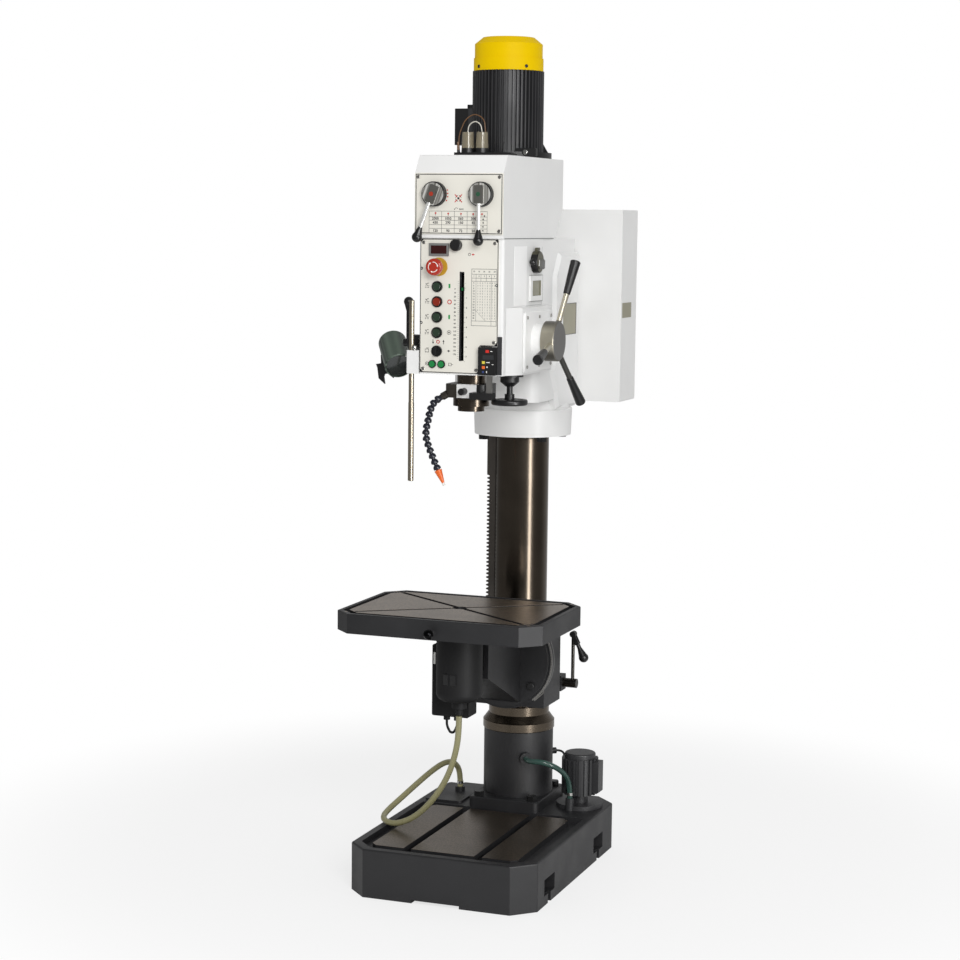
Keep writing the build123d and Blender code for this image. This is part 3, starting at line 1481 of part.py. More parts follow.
panel_fittings.part.label = "panel_fittings"
export_step(panel_fittings.part, "parts/panel_fittings.step")


def push_button(z):
    """A sprung button with a dished face."""
    with BuildPart() as button:
        bar_y(button_x, panel_face - button_out, panel_face - button_out + button_in, z, button_r)
        chamfer(edges().group_by(Axis.Y)[0], button_r / 10)
    return button.part


# Push buttons, from the top down
button_1 = push_button(button_zs[0])
button_1.label = "button_1"
export_step(button_1, "parts/button_1.step")
button_2 = push_button(button_zs[1])
button_2.label = "button_2"
export_step(button_2, "parts/button_2.step")
button_3 = push_button(button_zs[2])
button_3.label = "button_3"
export_step(button_3, "parts/button_3.step")
button_4 = push_button(button_zs[3])
button_4.label = "button_4"
export_step(button_4, "parts/button_4.step")

# Emergency stop: a mushroom head on a stem
cap_back = panel_face - estop_plate_t - estop_lift
with BuildPart() as estop:
    bar_y(estop_x, cap_back - estop_cap_t / 2, panel_back + estop_lift, estop_z, estop_stem_r)
    bar_y(estop_x, cap_back - estop_cap_t / 2, cap_back, estop_z, estop_neck_r)
    bar_y(estop_x, cap_back - estop_cap_t, cap_back - estop_cap_t / 2, estop_z, estop_r)
    fillet(edges().group_by(Axis.Y)[0], estop_cap_t / 5)
estop.part.label = "estop"
export_step(estop.part, "parts/estop.step")

# Selector switch: a knob with a finger bar
with BuildPart() as selector_switch:
    selector_face = panel_face - bezel_t - bezel_t / 2
    bar_y(button_x, selector_face, panel_back + bezel_t, selector_z, selector_r)
    half = selector_r / 3
    finger_y = (selector_face - 2 * bezel_t, selector_face)
    block(button_x - half, button_x + half, *finger_y, selector_z - selector_r, selector_z + selector_r)
selector_switch.part.label = "selector_switch"
export_step(selector_switch.part, "parts/selector_switch.step")

# Black knob: the setting knob beside the display
with BuildPart() as black_knob:
    bar_y(knob_x, panel_face - gap - knob_t, panel_face - gap, knob_z, knob_r)
    chamfer(edges().group_by(Axis.Y)[0], knob_r / 8)
    bar_y(knob_x, panel_face - gap, panel_back + knob_t / 2, knob_z, knob_stem_r)
black_knob.part.label = "black_knob"
export_step(black_knob.part, "parts/black_knob.step")


def speed_lever(x, lean):
    """A disc on a shaft through the case wall, with a drop lever in front."""
    back = upper_face - gap
    face = back - lever_disc_t
    down = Vector(-sin(radians(lean)), 0, -cos(radians(lean)))
    rod_y = face - lever_bar_t / 2
    with BuildPart() as lever:
        bar_y(x, back - lever_disc_t / 2, -case_front + lever_shaft_in, lever_z, lever_shaft_r)
        bar_y(x, face, back, lever_z, lever_disc_r)
        chamfer(edges().group_by(Axis.Y)[0], lever_disc_t / 8)
        with Locations(Location((x, rod_y, lever_z), (0, lean, 0))):
            Box(lever_bar_w, lever_bar_t, lever_bar_h)
        bar((x, rod_y, lever_z), down, lever_rod_len, lever_rod_r)
        knob_root = Vector(x, rod_y, lever_z) + down * lever_rod_len
        teardrop(knob_root, down, lever_knob_len, lever_knob_r, lever_rod_r)
    return lever.part


# Speed levers
speed_lever_left = speed_lever(-lever_x, left_lever_lean)
speed_lever_left.label = "speed_lever_left"
export_step(speed_lever_left, "parts/speed_lever_left.step")
speed_lever_right = speed_lever(lever_x, 0)
speed_lever_right.label = "speed_lever_right"
export_step(speed_lever_right, "parts/speed_lever_right.step")

# Motor body: a finned upright frame on a round flange, with the terminal box on its left
motor_low = case_top + motor_flange_t
motor_high = motor_low + motor_h
fin_outline = []
for fin in range(motor_fins):
    fin_half = motor_fin_t / motor_fin_r / 2
    turn = 2 * pi * fin / motor_fins
    for angle, radius in (
        (turn - fin_half, motor_core_r),
        (turn - fin_half, motor_fin_r),
        (turn + fin_half, motor_fin_r),
        (turn + fin_half, motor_core_r),
    ):
        fin_outline.append((radius * cos(angle), radius * sin(angle)))
with BuildPart() as motor_body:
    post(0, motor_y, case_top, motor_low, motor_flange_r)
    with BuildSketch(Plane.XY.offset(motor_low)):
        with Locations((0, motor_y)):
            Polygon(*fin_outline, align=None)
    extrude(amount=motor_h)
    box_x = (-motor_fin_r - terminal_w, -motor_core_r + terminal_round)
    with BuildSketch(Plane.XY.offset(terminal_z)):
        with Locations((sum(box_x) / 2, motor_y)):
            RectangleRounded(box_x[1] - box_x[0], terminal_d, terminal_round)
    extrude(amount=terminal_h)
    gland_x = -motor_fin_r - terminal_w / 4
    terminal_top = terminal_z + terminal_h
    post(gland_x, motor_y, terminal_top, terminal_top + terminal_gland_h, terminal_gland_r)
    post(0, motor_y, motor_low + motor_shield, motor_high - motor_shield, motor_bore_r, Mode.SUBTRACT)
    post(0, motor_y, case_top, motor_high, motor_shaft_r + run, Mode.SUBTRACT)
motor_body.part.label = "motor_body"
export_step(motor_body.part, "parts/motor_body.step")

# Motor rotor: armature, fan and the pinion that hangs into the gear case
with BuildPart() as motor_rotor:
    post(0, motor_y, gear_high_z, motor_high + 1.5 * fan_t, motor_shaft_r)
    armature_z = motor_low + (motor_h - rotor_h) / 2
    post(0, motor_y, armature_z, armature_z + rotor_h, rotor_r)
    with BuildSketch(Plane.XY.offset(gear_high_z)):
        with Locations((0, motor_y)):
            gear_face(motor_gear_r, motor_teeth)
    extrude(amount=gear_t)
    fan_z = motor_high + fan_t / 2
    post(0, motor_y, fan_z, fan_z + fan_t / 5, fan_r)
    for blade in range(fan_blades):
        with Locations(Location((0, motor_y, fan_z), (0, 0, 360 * blade / fan_blades))):
            Box(fan_r, fan_t / 6, fan_t, align=(Align.MIN, Align.CENTER, Align.MIN))
motor_rotor.part.label = "motor_rotor"
export_step(motor_rotor.part, "parts/motor_rotor.step")

# Motor cowl: the fan cover with a bevelled top and radial vents
with BuildPart() as motor_cowl:
    shell_r = cowl_r - cowl_skirt_step
    cowl_top = motor_high + cowl_h
    with BuildSketch(Plane.XZ):
        Polygon(
            (0, motor_high),
            (cowl_r, motor_high),
            (cowl_r, motor_high + cowl_skirt_h),
            (shell_r, motor_high + cowl_skirt_h),
            (shell_r, cowl_top - cowl_bevel_h),
            (shell_r - cowl_bevel, cowl_top),
            (0, cowl_top),
            align=None,
        )
        inner_r = shell_r - cowl_wall
        Polygon(
            (0, motor_high),
            (inner_r, motor_high),
            (inner_r, cowl_top - cowl_bevel_h - cowl_wall / 2),
            (shell_r - cowl_bevel - cowl_wall / 2, cowl_top - cowl_wall),
            (0, cowl_top - cowl_wall),
            align=None,
            mode=Mode.SUBTRACT,
        )
    revolve(axis=Axis.Z)
    vent_out = shell_r - cowl_bevel - vent_edge
    for vent in range(vents):
        with Locations(Location((0, 0, cowl_top - cowl_wall / 2), (0, 0, 360 * vent / vents))):
            with Locations(((vent_out + vent_in) / 2, 0, 0)):
                Box(vent_out - vent_in, vent_w, 2 * cowl_wall, mode=Mode.SUBTRACT)
motor_cowl.part = motor_cowl.part.moved(Location((0, motor_y, 0)))
motor_cowl.part.label = "motor_cowl"
export_step(motor_cowl.part, "parts/motor_cowl.step")

# Oil feed: two clear cups on a tray with bent pipes
cup_top = case_top + tray_t + cup_h
brown_points = [
    (-tray_left + 4, cup_y + 8, case_top + tray_t),
    (-tray_left, cup_y + 8, 2012),
    (-72, cup_y + 8, 2056),
    (-44, cup_y + 6, 2072),
    (-16, cup_y + 4, 2058),
    (cup_xs[1] + 8, cup_y + 4, cup_top),
]
light_points = [
    (cup_xs[0], cup_y - 4, cup_top),
    (cup_xs[0] + 4, cup_y - 4, cup_top + 20),
    (cup_xs[0] + 22, cup_y - 4, cup_top + 30),
    (cup_xs[1] - 2, cup_y - 5, cup_top + 20),
    (cup_xs[1] + 2, cup_y - 6, cup_top),
]
with BuildPart() as oil_feed:
    block(-tray_left, tray_right, cup_y - tray_d / 2, cup_y + tray_d / 2, case_top, case_top + tray_t)
    for x in cup_xs:
        with Locations((x, cup_y, case_top + tray_t)):
            Cone(cup_r, cup_top_r, cup_h, align=floor_up)
            inner = (cup_r - cup_wall, cup_top_r - cup_wall)
            Cone(*inner, cup_h - cup_wall, align=floor_up, mode=Mode.SUBTRACT)
    for x in stud_xs:
        post(x, cup_y - tray_d / 4, case_top + tray_t, case_top + tray_t + stud_h, stud_r)
with BuildPart() as brown_pipe:
    hose("brown_pipe", brown_points, oil_line_r)
with BuildPart() as light_pipe:
    hose("light_pipe", light_points, oil_line_r)
oil_group = Compound(children=[oil_feed.part.solid(), brown_pipe.part.solid(), light_pipe.part.solid()])
oil_group.label = "oil_feed"
export_step(oil_group, "parts/oil_feed.step")

# Feed shaft: the quill pinion and the worm wheel on one cross shaft
cover_face = feedbox_right + cover_t
with BuildPart() as feed_shaft:
    bar_x(-feed_tail, cover_face + gap, feed_y, feed_z, feed_shaft_r)
    with BuildSketch(Plane(origin=(-feed_pinion_w / 2, feed_y, feed_z), z_dir=(1, 0, 0))):
        gear_face(feed_pinion_r, feed_pinion_teeth)
    extrude(amount=feed_pinion_w)
    with BuildSketch(Plane(origin=(feed_wheel_x - feed_wheel_w / 2, feed_y, feed_z), z_dir=(1, 0, 0))):
        gear_face(feed_wheel_r, feed_wheel_teeth)
    extrude(amount=feed_wheel_w)
feed_shaft.part.label = "feed_shaft"
export_step(feed_shaft.part, "parts/feed_shaft.step")

# Feed hub: the drum on the shaft's end with three leaning spokes
hub_in = hub_out - hub_t
spoke_x = hub_out - spoke_set
spoke_ways = []
for turn in range(3):
    angle = radians(spoke_angle + 120 * turn)
    lean = radians(spoke_tilt)
    spoke_ways.append(Vector(sin(lean), cos(lean) * cos(angle), cos(lean) * sin(angle)))
with BuildPart() as feed_hub:
    bar_x(cover_face + gap, hub_in, feed_y, feed_z, neck_hub_r)
    bar_x(hub_in, hub_out, feed_y, feed_z, hub_r)
    chamfer(edges().group_by(Axis.X)[-1], hub_t / 12)
    for way in spoke_ways:
        bar((spoke_x, feed_y, feed_z), way, grip_start, spoke_r)
feed_hub.part.label = "feed_hub"
export_step(feed_hub.part, "parts/feed_hub.step")

# Feed grips: three tapered handles on the spokes
grips = []
for way in spoke_ways:
    with BuildPart() as grip:
        grip_at = Vector(spoke_x, feed_y, feed_z) + way * grip_start
        bar(grip_at, way, grip_end - grip_start, grip_r, grip_end_r)
        fillet(edges().filter_by(GeomType.CIRCLE), grip_r / 3)
    grips.append(grip.part.solid())
feed_grips = Compound(children=grips)
feed_grips.label = "feed_grips"
export_step(feed_grips, "parts/feed_grips.step")

# Feed cover: the plate over the feed box, and the bush that carries the worm from below
bush_top = head_bottom - bush_plate_t
bush_low = bush_top - bush_h
cover_low = head_bottom + cover_set
with BuildPart() as feed_cover:
    block(feedbox_right, cover_face, -cover_front, -cover_back, cover_low, cover_top)
    fillet(edges().filter_by(Axis.X), 2 * cover_t)
    chamfer(edges().group_by(Axis.X)[-1], cover_t / 4)
    bar_x(cover_face, hub_in - gap, feed_y, feed_z, boss_r)
    bar_x(cover_face, hub_in - gap, feed_y, feed_z, neck_hub_r + run, Mode.SUBTRACT)
    bar_x(feedbox_right, cover_face, feed_y, feed_z, feed_shaft_r + run, Mode.SUBTRACT)
feed_cover.part.label = "feed_cover"
export_step(feed_cover.part, "parts/feed_cover.step")
with BuildPart() as worm_bush:
    post(feed_wheel_x, hand_y, bush_top, head_bottom, bush_plate_r)
    post(feed_wheel_x, hand_y, bush_low, bush_top, bush_r)
    bar((feed_wheel_x, hand_y, bush_low), (0, 0, -1), bush_tip_h, bush_r, bush_tip_r)
    post(feed_wheel_x, hand_y, bush_low - bush_tip_h, head_bottom, hand_shaft_r + run, Mode.SUBTRACT)

# Handwheel: the fine-feed wheel, its shaft and worm
with BuildPart() as handwheel:
    post(feed_wheel_x, hand_y, handwheel_z, hand_top, hand_shaft_r)
    post(feed_wheel_x, hand_y, feed_z - hand_worm_len / 2, feed_z + hand_worm_len / 2, hand_worm_r)
    post(feed_wheel_x, hand_y, handwheel_z, handwheel_z + handwheel_t, handwheel_r)
    rim_edges = edges().filter_by(GeomType.CIRCLE).filter_by(lambda e: abs(e.radius - handwheel_r) < fit)
    fillet(rim_edges, handwheel_t / 3)
    post(feed_wheel_x, hand_y, handwheel_z, handwheel_z + handwheel_t + handwheel_hub_h, handwheel_hub_r)
    with Locations((feed_wheel_x, hand_y, handwheel_z)):
        with PolarLocations((handwheel_hub_r + handwheel_r) / 2, 3):
            Cylinder(handwheel_hub_r * 0.7, handwheel_t, align=floor_up, mode=Mode.SUBTRACT)
handwheel.part.label = "handwheel"
export_step(handwheel.part, "parts/handwheel.step")

# Feed selector: a hub on the head's right side with a ball arm, a paddle and a tab
with BuildPart() as feed_selector:
    sel_in = head_right + gap
    sel_out = sel_in + side_sel_t
    bar_x(head_right - 2 * head_wall, sel_in, side_sel_y, side_sel_z, side_sel_shaft_r)
    bar_x(sel_in, sel_out, side_sel_y, side_sel_z, side_sel_r)
    chamfer(edges().group_by(Axis.X)[-1], side_sel_t / 8)
    sel_mid = (sel_in + sel_out) / 2
    bar((sel_mid, side_sel_y, side_sel_z), (0, -1, 0), side_arm_len, side_arm_r)
    with Locations((sel_mid, side_sel_y - side_arm_len, side_sel_z)):
        Sphere(side_ball_r)
    flat = (sel_mid - side_arm_r, sel_mid + side_arm_r)
    paddle_y = (side_sel_y, side_sel_y + side_arm_len + side_arm_r)
    block(*flat, *paddle_y, side_sel_z - side_ball_r, side_sel_z + side_ball_r)
    tab_y = (side_sel_y - side_ball_r, side_sel_y + side_ball_r)
    block(*flat, *tab_y, side_sel_z, side_sel_z + side_sel_r + side_ball_r)
feed_selector.part.label = "feed_selector"
export_step(feed_selector.part, "parts/feed_selector.step")

# Guard block: the clamp on the head's left front edge that holds the guard rod
with BuildPart() as guard_block:
    block_z = (guard_block_low, guard_block_low + guard_block_h)
    block_y = (guard_y - guard_block_w / 2, guard_y + guard_block_w / 2)
    block(guard_x - guard_block_w / 2, -head_left, *block_y, *block_z)
    chamfer(edges().filter_by(Axis.Z).group_by(Axis.X)[0], guard_block_w / 10)
    post(guard_x, guard_y, *block_z, guard_r + run, Mode.SUBTRACT)

# Guard rod: a stepped steel rod
with BuildPart() as guard_rod:
    post(guard_x, guard_y, guard_low, guard_top, guard_r)
    post(guard_x, guard_y, guard_low, guard_step, guard_low_r)
    chamfer(edges().group_by(Axis.Z)[0], guard_r / 5)
    chamfer(edges().group_by(Axis.Z)[-1], guard_r / 5)
guard_rod.part.label = "guard_rod"
export_step(guard_rod.part, "parts/guard_rod.step")

# Quill lock: a lever on a cross shaft through the head's left wall
with BuildPart() as lock_lever:
    bar_x(-quill_lock_out, -head_left - gap, quill_lock_y, quill_lock_z, quill_lock_hub_r)
    chamfer(edges().group_by(Axis.X)[0], quill_lock_hub_r / 10)
    bar_x(-head_left - gap, -head_left + 3 * head_wall, quill_lock_y, quill_lock_z, quill_lock_shaft_r)
    bar_x(-quill_lock_tip, -quill_lock_out, quill_lock_y, quill_lock_z, quill_lock_boss_r)
    rod_x = -quill_lock_tip + 2 * quill_lock_rod_r
    post(rod_x, quill_lock_y, quill_lock_z, quill_lock_rod_top, quill_lock_rod_r)
    knob_root = (rod_x, quill_lock_y, quill_lock_rod_top)
    teardrop(knob_root, (0, 0, 1), quill_lock_knob_len, quill_lock_knob_r, quill_lock_rod_r)
lock_lever.part.label = "lock_lever"
export_step(lock_lever.part, "parts/lock_lever.step")

# Lamp bracket: a flange on the head with an arm that holds the lamp's pin
lamp_way = Vector(*lamp_axis).normalized()
lamp_side = Vector(-lamp_way.Y, lamp_way.X, 0).normalized()
lamp_mid = Vector(lamp_x, lamp_y, lamp_centre_z)
arm_reach = (-head_left - lamp_x) / lamp_side.X
arm_foot = lamp_mid + lamp_side * arm_reach
arm_tip = lamp_mid + lamp_side * (lamp_r + gap)
with BuildPart() as lamp_bracket:
    bar(arm_tip, lamp_side, arm_reach - lamp_r - gap, lamp_arm_r)
    bar_x(-head_left - lamp_flange_t, -head_left, arm_foot.Y, arm_foot.Z, lamp_flange_r)
    bar(arm_tip, lamp_side, lamp_pin_len + gap, lamp_pin_r + run, mode=Mode.SUBTRACT)
    trim_y = (arm_foot.Y - lamp_len, arm_foot.Y + lamp_len)
    block(-head_left, 0, *trim_y, arm_foot.Z - lamp_r, arm_foot.Z + lamp_r, Mode.SUBTRACT)
head_brackets = Compound(children=[worm_bush.part.solid(), guard_block.part.solid(), lamp_bracket.part.solid()])
head_brackets.label = "head_brackets"
export_step(head_brackets, "parts/head_brackets.step")

# Lamp head: a round shell with a set-back lens, a pivot pin and a flat ear on its left
lamp_back = lamp_mid - lamp_way * lamp_len / 2
lamp_front = lamp_mid + lamp_way * lamp_len / 2
with BuildPart() as lamp_head:
    bar(lamp_back, lamp_way, lamp_len, lamp_r)
    fillet(edges().filter_by(GeomType.CIRCLE), lamp_shell)
    bar(lamp_front, -lamp_way, lamp_lens_set, lamp_r - lamp_shell, mode=Mode.SUBTRACT)
    bar(lamp_mid + lamp_side * (lamp_r - lamp_shell), lamp_side, lamp_shell + lamp_pin_len, lamp_pin_r)
    with BuildSketch(Plane.XZ.offset(-lamp_y)):
        Polygon(*lamp_ear, align=None)
    extrude(amount=lamp_ear_t / 2, both=True)
lamp_head.part.label = "lamp_head"
export_step(lamp_head.part, "parts/lamp_head.step")

# Cabinet: a sheet box behind the head, open at the rear with a folded lip
cabinet_front = neck_back
cabinet_back = cabinet_front + cabinet_d
cabinet_high = cabinet_low + cabinet_h
sheet_in = cabinet_half_w - cabinet_sheet
with BuildPart() as cabinet:
    block(-cabinet_half_w, cabinet_half_w, cabinet_front, cabinet_back, cabinet_low, cabinet_high)
    fillet(edges().filter_by(Axis.Y), cabinet_round)
    low_in = cabinet_low + cabinet_sheet
    high_in = cabinet_high - cabinet_sheet
    deep = (cabinet_front + cabinet_sheet, cabinet_back - cabinet_sheet)
    block(-sheet_in, sheet_in, *deep, low_in, high_in, Mode.SUBTRACT)
    lip_in = sheet_in - cabinet_lip
    lip_z = (low_in + cabinet_lip, high_in - cabinet_lip)
    block(-lip_in, lip_in, cabinet_back - cabinet_sheet, cabinet_back, *lip_z, Mode.SUBTRACT)
cabinet.part.label = "cabinet"
export_step(cabinet.part, "parts/cabinet.step")

# Control gear: a mounting plate with rows of relays inside the cabinet
plate_back = cabinet_front + cabinet_sheet + plate_t
with BuildPart() as control_gear:
    plate_in = lip_in - cabinet_lip
    plate_z = (low_in + 2 * cabinet_lip, high_in - 2 * cabinet_lip)
    block(-plate_in, plate_in, cabinet_front + cabinet_sheet, plate_back, *plate_z)
    for x in relay_xs:
        for z in relay_zs:
            relay_x = (x - relay_w / 2, x + relay_w / 2)
            block(*relay_x, plate_back, plate_back + relay_d, z - relay_h / 2, z + relay_h / 2)
control_gear.part.label = "control_gear"
export_step(control_gear.part, "parts/control_gear.step")

# Cabinet door: a folded tray hinged on the left, with knuckles and a latch
door_front = cabinet_back + gap
door_back = door_front + door_t
with BuildPart() as cabinet_door:
    block(-cabinet_half_w, cabinet_half_w, door_front, door_back, cabinet_low, cabinet_high)
    fillet(edges().filter_by(Axis.Y), cabinet_round)
    block(-sheet_in, sheet_in, door_front, door_back - cabinet_sheet, low_in, high_in, Mode.SUBTRACT)
    for z in hinge_zs:
        post(-cabinet_half_w - hinge_r / 2, door_back - hinge_r / 2, z - hinge_len / 2, z + hinge_len / 2, hinge_r)
    latch_x = cabinet_half_w - 3 * latch_r
    latch_z = cabinet_low + cabinet_h / 2
    bar_y(latch_x, door_back - cabinet_sheet, door_back + latch_r / 2, latch_z, latch_r)
cabinet_door.part.label = "cabinet_door"
export_step(cabinet_door.part, "parts/cabinet_door.step")

# Fasteners: hex bolts, cap screws and panel screws as one set
screws = []


def hex_bolt(spot, way, head_r, head_h, shank_r, shank):
    """A hexagon head that sits on a face, with its shank in the hole behind."""
    with BuildPart() as bolt:
        with BuildSketch(Plane(origin=spot, z_dir=way)):
            RegularPolygon(head_r, 6)
        extrude(amount=head_h)
        if shank:
            bar(spot, -Vector(way), shank, shank_r)
    screws.append(bolt.part.solid())


def cheese_head(spot, way, head_r, head_h):
    """A round slotted head on a panel's face."""
    with BuildPart() as screw:
        bar(spot, way, head_h, head_r)
        outer_face = faces().sort_by(Axis((0, 0, 0), way))[-1]
        chamfer(outer_face.edges(), head_h / 4)
    screws.append(screw.part.solid())


for x, y in flange_bolts:
    hex_bolt((x, y, base_h + foot_flange_t), (0, 0, 1), bolt_head_r, bolt_head_h, bolt_r, foot_flange_t)
for turn in range(4):
    angle = radians(45 + 90 * turn)
    ring_spot = (ring_bolt_r * cos(angle), ring_bolt_r * sin(angle), flange_bottom)
    hex_bolt(ring_spot, (0, 0, -1), bolt_head_r, bolt_head_h, bolt_r, 2 * bolt_head_h)
    motor_bolt = (motor_flange_r + motor_fin_r) / 2
    motor_spot = (motor_bolt * cos(angle), motor_y + motor_bolt * sin(angle), motor_low)
    hex_bolt(motor_spot, (0, 0, 1), bolt_r, bolt_r, bolt_r, 0)
for x in (-upper_panel_half_w + screw_in, upper_panel_half_w - screw_in):
    for z in (upper_panel_low + screw_in, upper_panel_high - screw_in):
        cheese_head((x, upper_face, z), (0, -1, 0), screw_r, screw_h)
lower_spots = (
    (-lower_panel_half_w + screw_in, lower_panel_low + screw_in),
    (notch_left - screw_in, lower_panel_low + screw_in),
    (lower_panel_half_w - screw_in, notch_top + screw_in),
    (-lower_panel_half_w + screw_in, lower_panel_high - screw_in),
    (lower_panel_half_w - screw_in, lower_panel_high - screw_in),
)
for x, z in lower_spots:
    cheese_head((x, panel_face, z), (0, -1, 0), screw_r, screw_h)
for y in (-cover_front + cover_screw_in, -(cover_front + cover_back) / 2, -cover_back - cover_screw_in):
    for z in (cover_low + cover_screw_in, cover_top - cover_screw_in):
        cheese_head((cover_face, y, z), (1, 0, 0), screw_r, screw_h)
fasteners = Compound(children=screws)
fasteners.label = "fasteners"
export_step(fasteners, "parts/fasteners.step")
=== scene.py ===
# %% [markdown]
# # A gear-head pillar drill
# The imported model is a fixed frame in metres: Z is up the column, the operator stands at -Y, and every
# CAD node is already in its place. This lesson dresses that frame.

# %% Load the frame
import math

import bmesh
import bpy
from mathutils import Matrix, Vector


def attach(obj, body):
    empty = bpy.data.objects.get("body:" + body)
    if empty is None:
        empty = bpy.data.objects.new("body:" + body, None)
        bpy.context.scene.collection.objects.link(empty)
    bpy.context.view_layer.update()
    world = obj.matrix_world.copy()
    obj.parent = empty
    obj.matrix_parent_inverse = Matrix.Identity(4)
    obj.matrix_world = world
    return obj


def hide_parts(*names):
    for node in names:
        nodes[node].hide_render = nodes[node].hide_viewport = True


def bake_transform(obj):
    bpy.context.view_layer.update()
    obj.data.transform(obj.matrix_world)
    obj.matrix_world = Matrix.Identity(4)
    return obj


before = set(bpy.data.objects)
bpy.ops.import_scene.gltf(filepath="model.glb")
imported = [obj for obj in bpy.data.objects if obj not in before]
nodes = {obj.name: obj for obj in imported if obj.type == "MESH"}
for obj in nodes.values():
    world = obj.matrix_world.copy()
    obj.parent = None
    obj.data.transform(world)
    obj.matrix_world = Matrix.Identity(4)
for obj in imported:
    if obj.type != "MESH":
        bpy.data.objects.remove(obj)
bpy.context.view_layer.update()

# %% [markdown]
# ## Writing finishes as sums
# A finish such as paint over a casting is a few patterns added, scaled and masked. In the shader editor each
# sum is a Math node. Wrapping a socket in a small class lets the script write the sum itself, and one method
# makes every other kind of node from its type, its settings and its sockets. A finish keeps its colour, its
# gloss and its metal as such sums until it is done.

# %% A socket with arithmetic
class Wire:
    """One output socket of a node tree, with the sums that masks and patterns need."""

    def __init__(self, net, socket):
        self.net = net
        self.socket = socket

    def sum(self, operation, first, second=0.0):
        return self.net.add("ShaderNodeMath", {"operation": operation}, {0: first, 1: second})

    def __add__(self, other):
        return self.sum("ADD", self, other)

    def __radd__(self, other):
        return self.sum("ADD", other, self)

    def __sub__(self, other):
        return self.sum("SUBTRACT", self, other)

    def __rsub__(self, other):
        return self.sum("SUBTRACT", other, self)

    def __mul__(self, other):
        return self.sum("MULTIPLY", self, other)

    def __rmul__(self, other):
        return self.sum("MULTIPLY", other, self)

    def __gt__(self, other):
        return self.sum("GREATER_THAN", self, other)

    def __lt__(self, other):
        return self.sum("LESS_THAN", self, other)

    def size(self):
        return self.sum("ABSOLUTE", self)

    def squared(self):
        return self * self

    def near(self, middle, reach):
        """1 where the value lies within reach of the middle."""
        return (self - middle).size() < reach

    def ramp(self, low, high):
        """0 below low, 1 above high and a smooth step between."""
        return self.net.add(
            "ShaderNodeMapRange",
            {"interpolation_type": "SMOOTHSTEP"},
            {"Value": self, "From Min": low, "From Max": high},
        )


# %% A tree and a finish under construction
class Net:
    """A node tree that is built one node at a time."""

    def __init__(self, tree):
        self.tree = tree

    def add(self, kind, settings=None, sockets=None, out=0):
        """A node of this kind: its settings first, then the values or links of its sockets."""
        node = self.tree.nodes.new(kind)
        for key, value in (settings or {}).items():
            setattr(node, key, value)
        for key, value in (sockets or {}).items():
            if isinstance(value, Wire):
                self.tree.links.new(value.socket, node.inputs[key])
            else:
                node.inputs[key].default_value = value
        return Wire(self, node.outputs[out])

    def split(self, vector):
        """The X, Y and Z of a vector."""
        parts = self.add("ShaderNodeSeparateXYZ", None, {0: vector})
        return [Wire(self, socket) for socket in parts.socket.node.outputs]


class Finish(Net):
    """A material with one Principled shader, whose patterns read the piece's own coordinates."""

    def __init__(self, name, colour, roughness, metallic=0.0, **constants):
        self.material = bpy.data.materials.new(name)
        self.material.use_nodes = True
        super().__init__(self.material.node_tree)
        self.shader = self.tree.nodes["Principled BSDF"]
        self.shader.inputs["Base Color"].default_value = (*colour, 1.0)
        self.shader.inputs["Roughness"].default_value = roughness
        self.shader.inputs["Metallic"].default_value = metallic
        for socket, value in constants.items():
            self.shader.inputs[socket.replace("_", " ")].default_value = value
        self.metallic = metallic
        self.where = self.add("ShaderNodeTexCoord", out="Object")

    def axes(self):
        """The piece's own X, Y and Z, in metres."""
        return self.split(self.where)

    def noise(self, scale, detail=2.0, stretch=(1, 1, 1)):
        """A cloudy pattern from 0 to 1; stretch draws it out along an axis."""
        place = self.add("ShaderNodeMapping", None, {"Vector": self.where, "Scale": stretch})
        return self.add("ShaderNodeTexNoise", None, {"Vector": place, "Scale": scale, "Detail": detail})

    def bands(self, along, rate, detail):
        """A pattern from 0 to 1 that changes along one direction only."""
        sockets = {"W": along * rate, "Scale": 1.0, "Detail": detail}
        return self.add("ShaderNodeTexNoise", {"noise_dimensions": "1D"}, sockets)

    def mix(self, share, first, second):
        """One colour over another by a share from 0 to 1."""
        picks = {0: share}
        for key, value in ((6, first), (7, second)):
            picks[key] = value if isinstance(value, Wire) else (*value, 1.0)
        return self.add("ShaderNodeMix", {"data_type": "RGBA"}, picks, out=2)

    def feed(self, socket, wire):
        self.tree.links.new(wire.socket, self.shader.inputs[socket])

    def mix_in(self, share, other):
        """Mixes another shader into the finish by a share from 0 to 1."""
        own = Wire(self, self.shader.outputs[0])
        both = self.add("ShaderNodeMixShader", None, {0: share, 1: own, 2: other})
        self.tree.links.new(both.socket, self.tree.nodes["Material Output"].inputs["Surface"])

    def over(self, mask, colour, roughness, metallic=0.0):
        """Lays another colour and polish over part of the piece, where the mask is 1."""
        self.colour = self.mix(mask, self.colour, colour)
        self.gloss = self.gloss * (1 - mask) + mask * roughness
        if metallic or self.metal is not None:
            before = self.metal if self.metal is not None else self.metallic
            self.metal = mask * metallic + (1 - mask) * before

    def bump(self, height, distance):
        sockets = {"Height": height, "Distance": distance, "Strength": 1.0}
        self.feed("Normal", self.add("ShaderNodeBump", None, sockets))


def tone(red, green, blue):
    """A colour as it is read from a screen, turned into the linear values that a shader mixes."""
    linear = []
    for value in (red / 255, green / 255, blue / 255):
        linear.append(value / 12.92 if value <= 0.04045 else ((value + 0.055) / 1.055) ** 2.4)
    return tuple(linear)


def shade(colour, share):
    return tuple(min(1.0, value * share) for value in colour)


print("finish tools ready, mid grey is", [round(v, 3) for v in tone(128, 128, 128)])

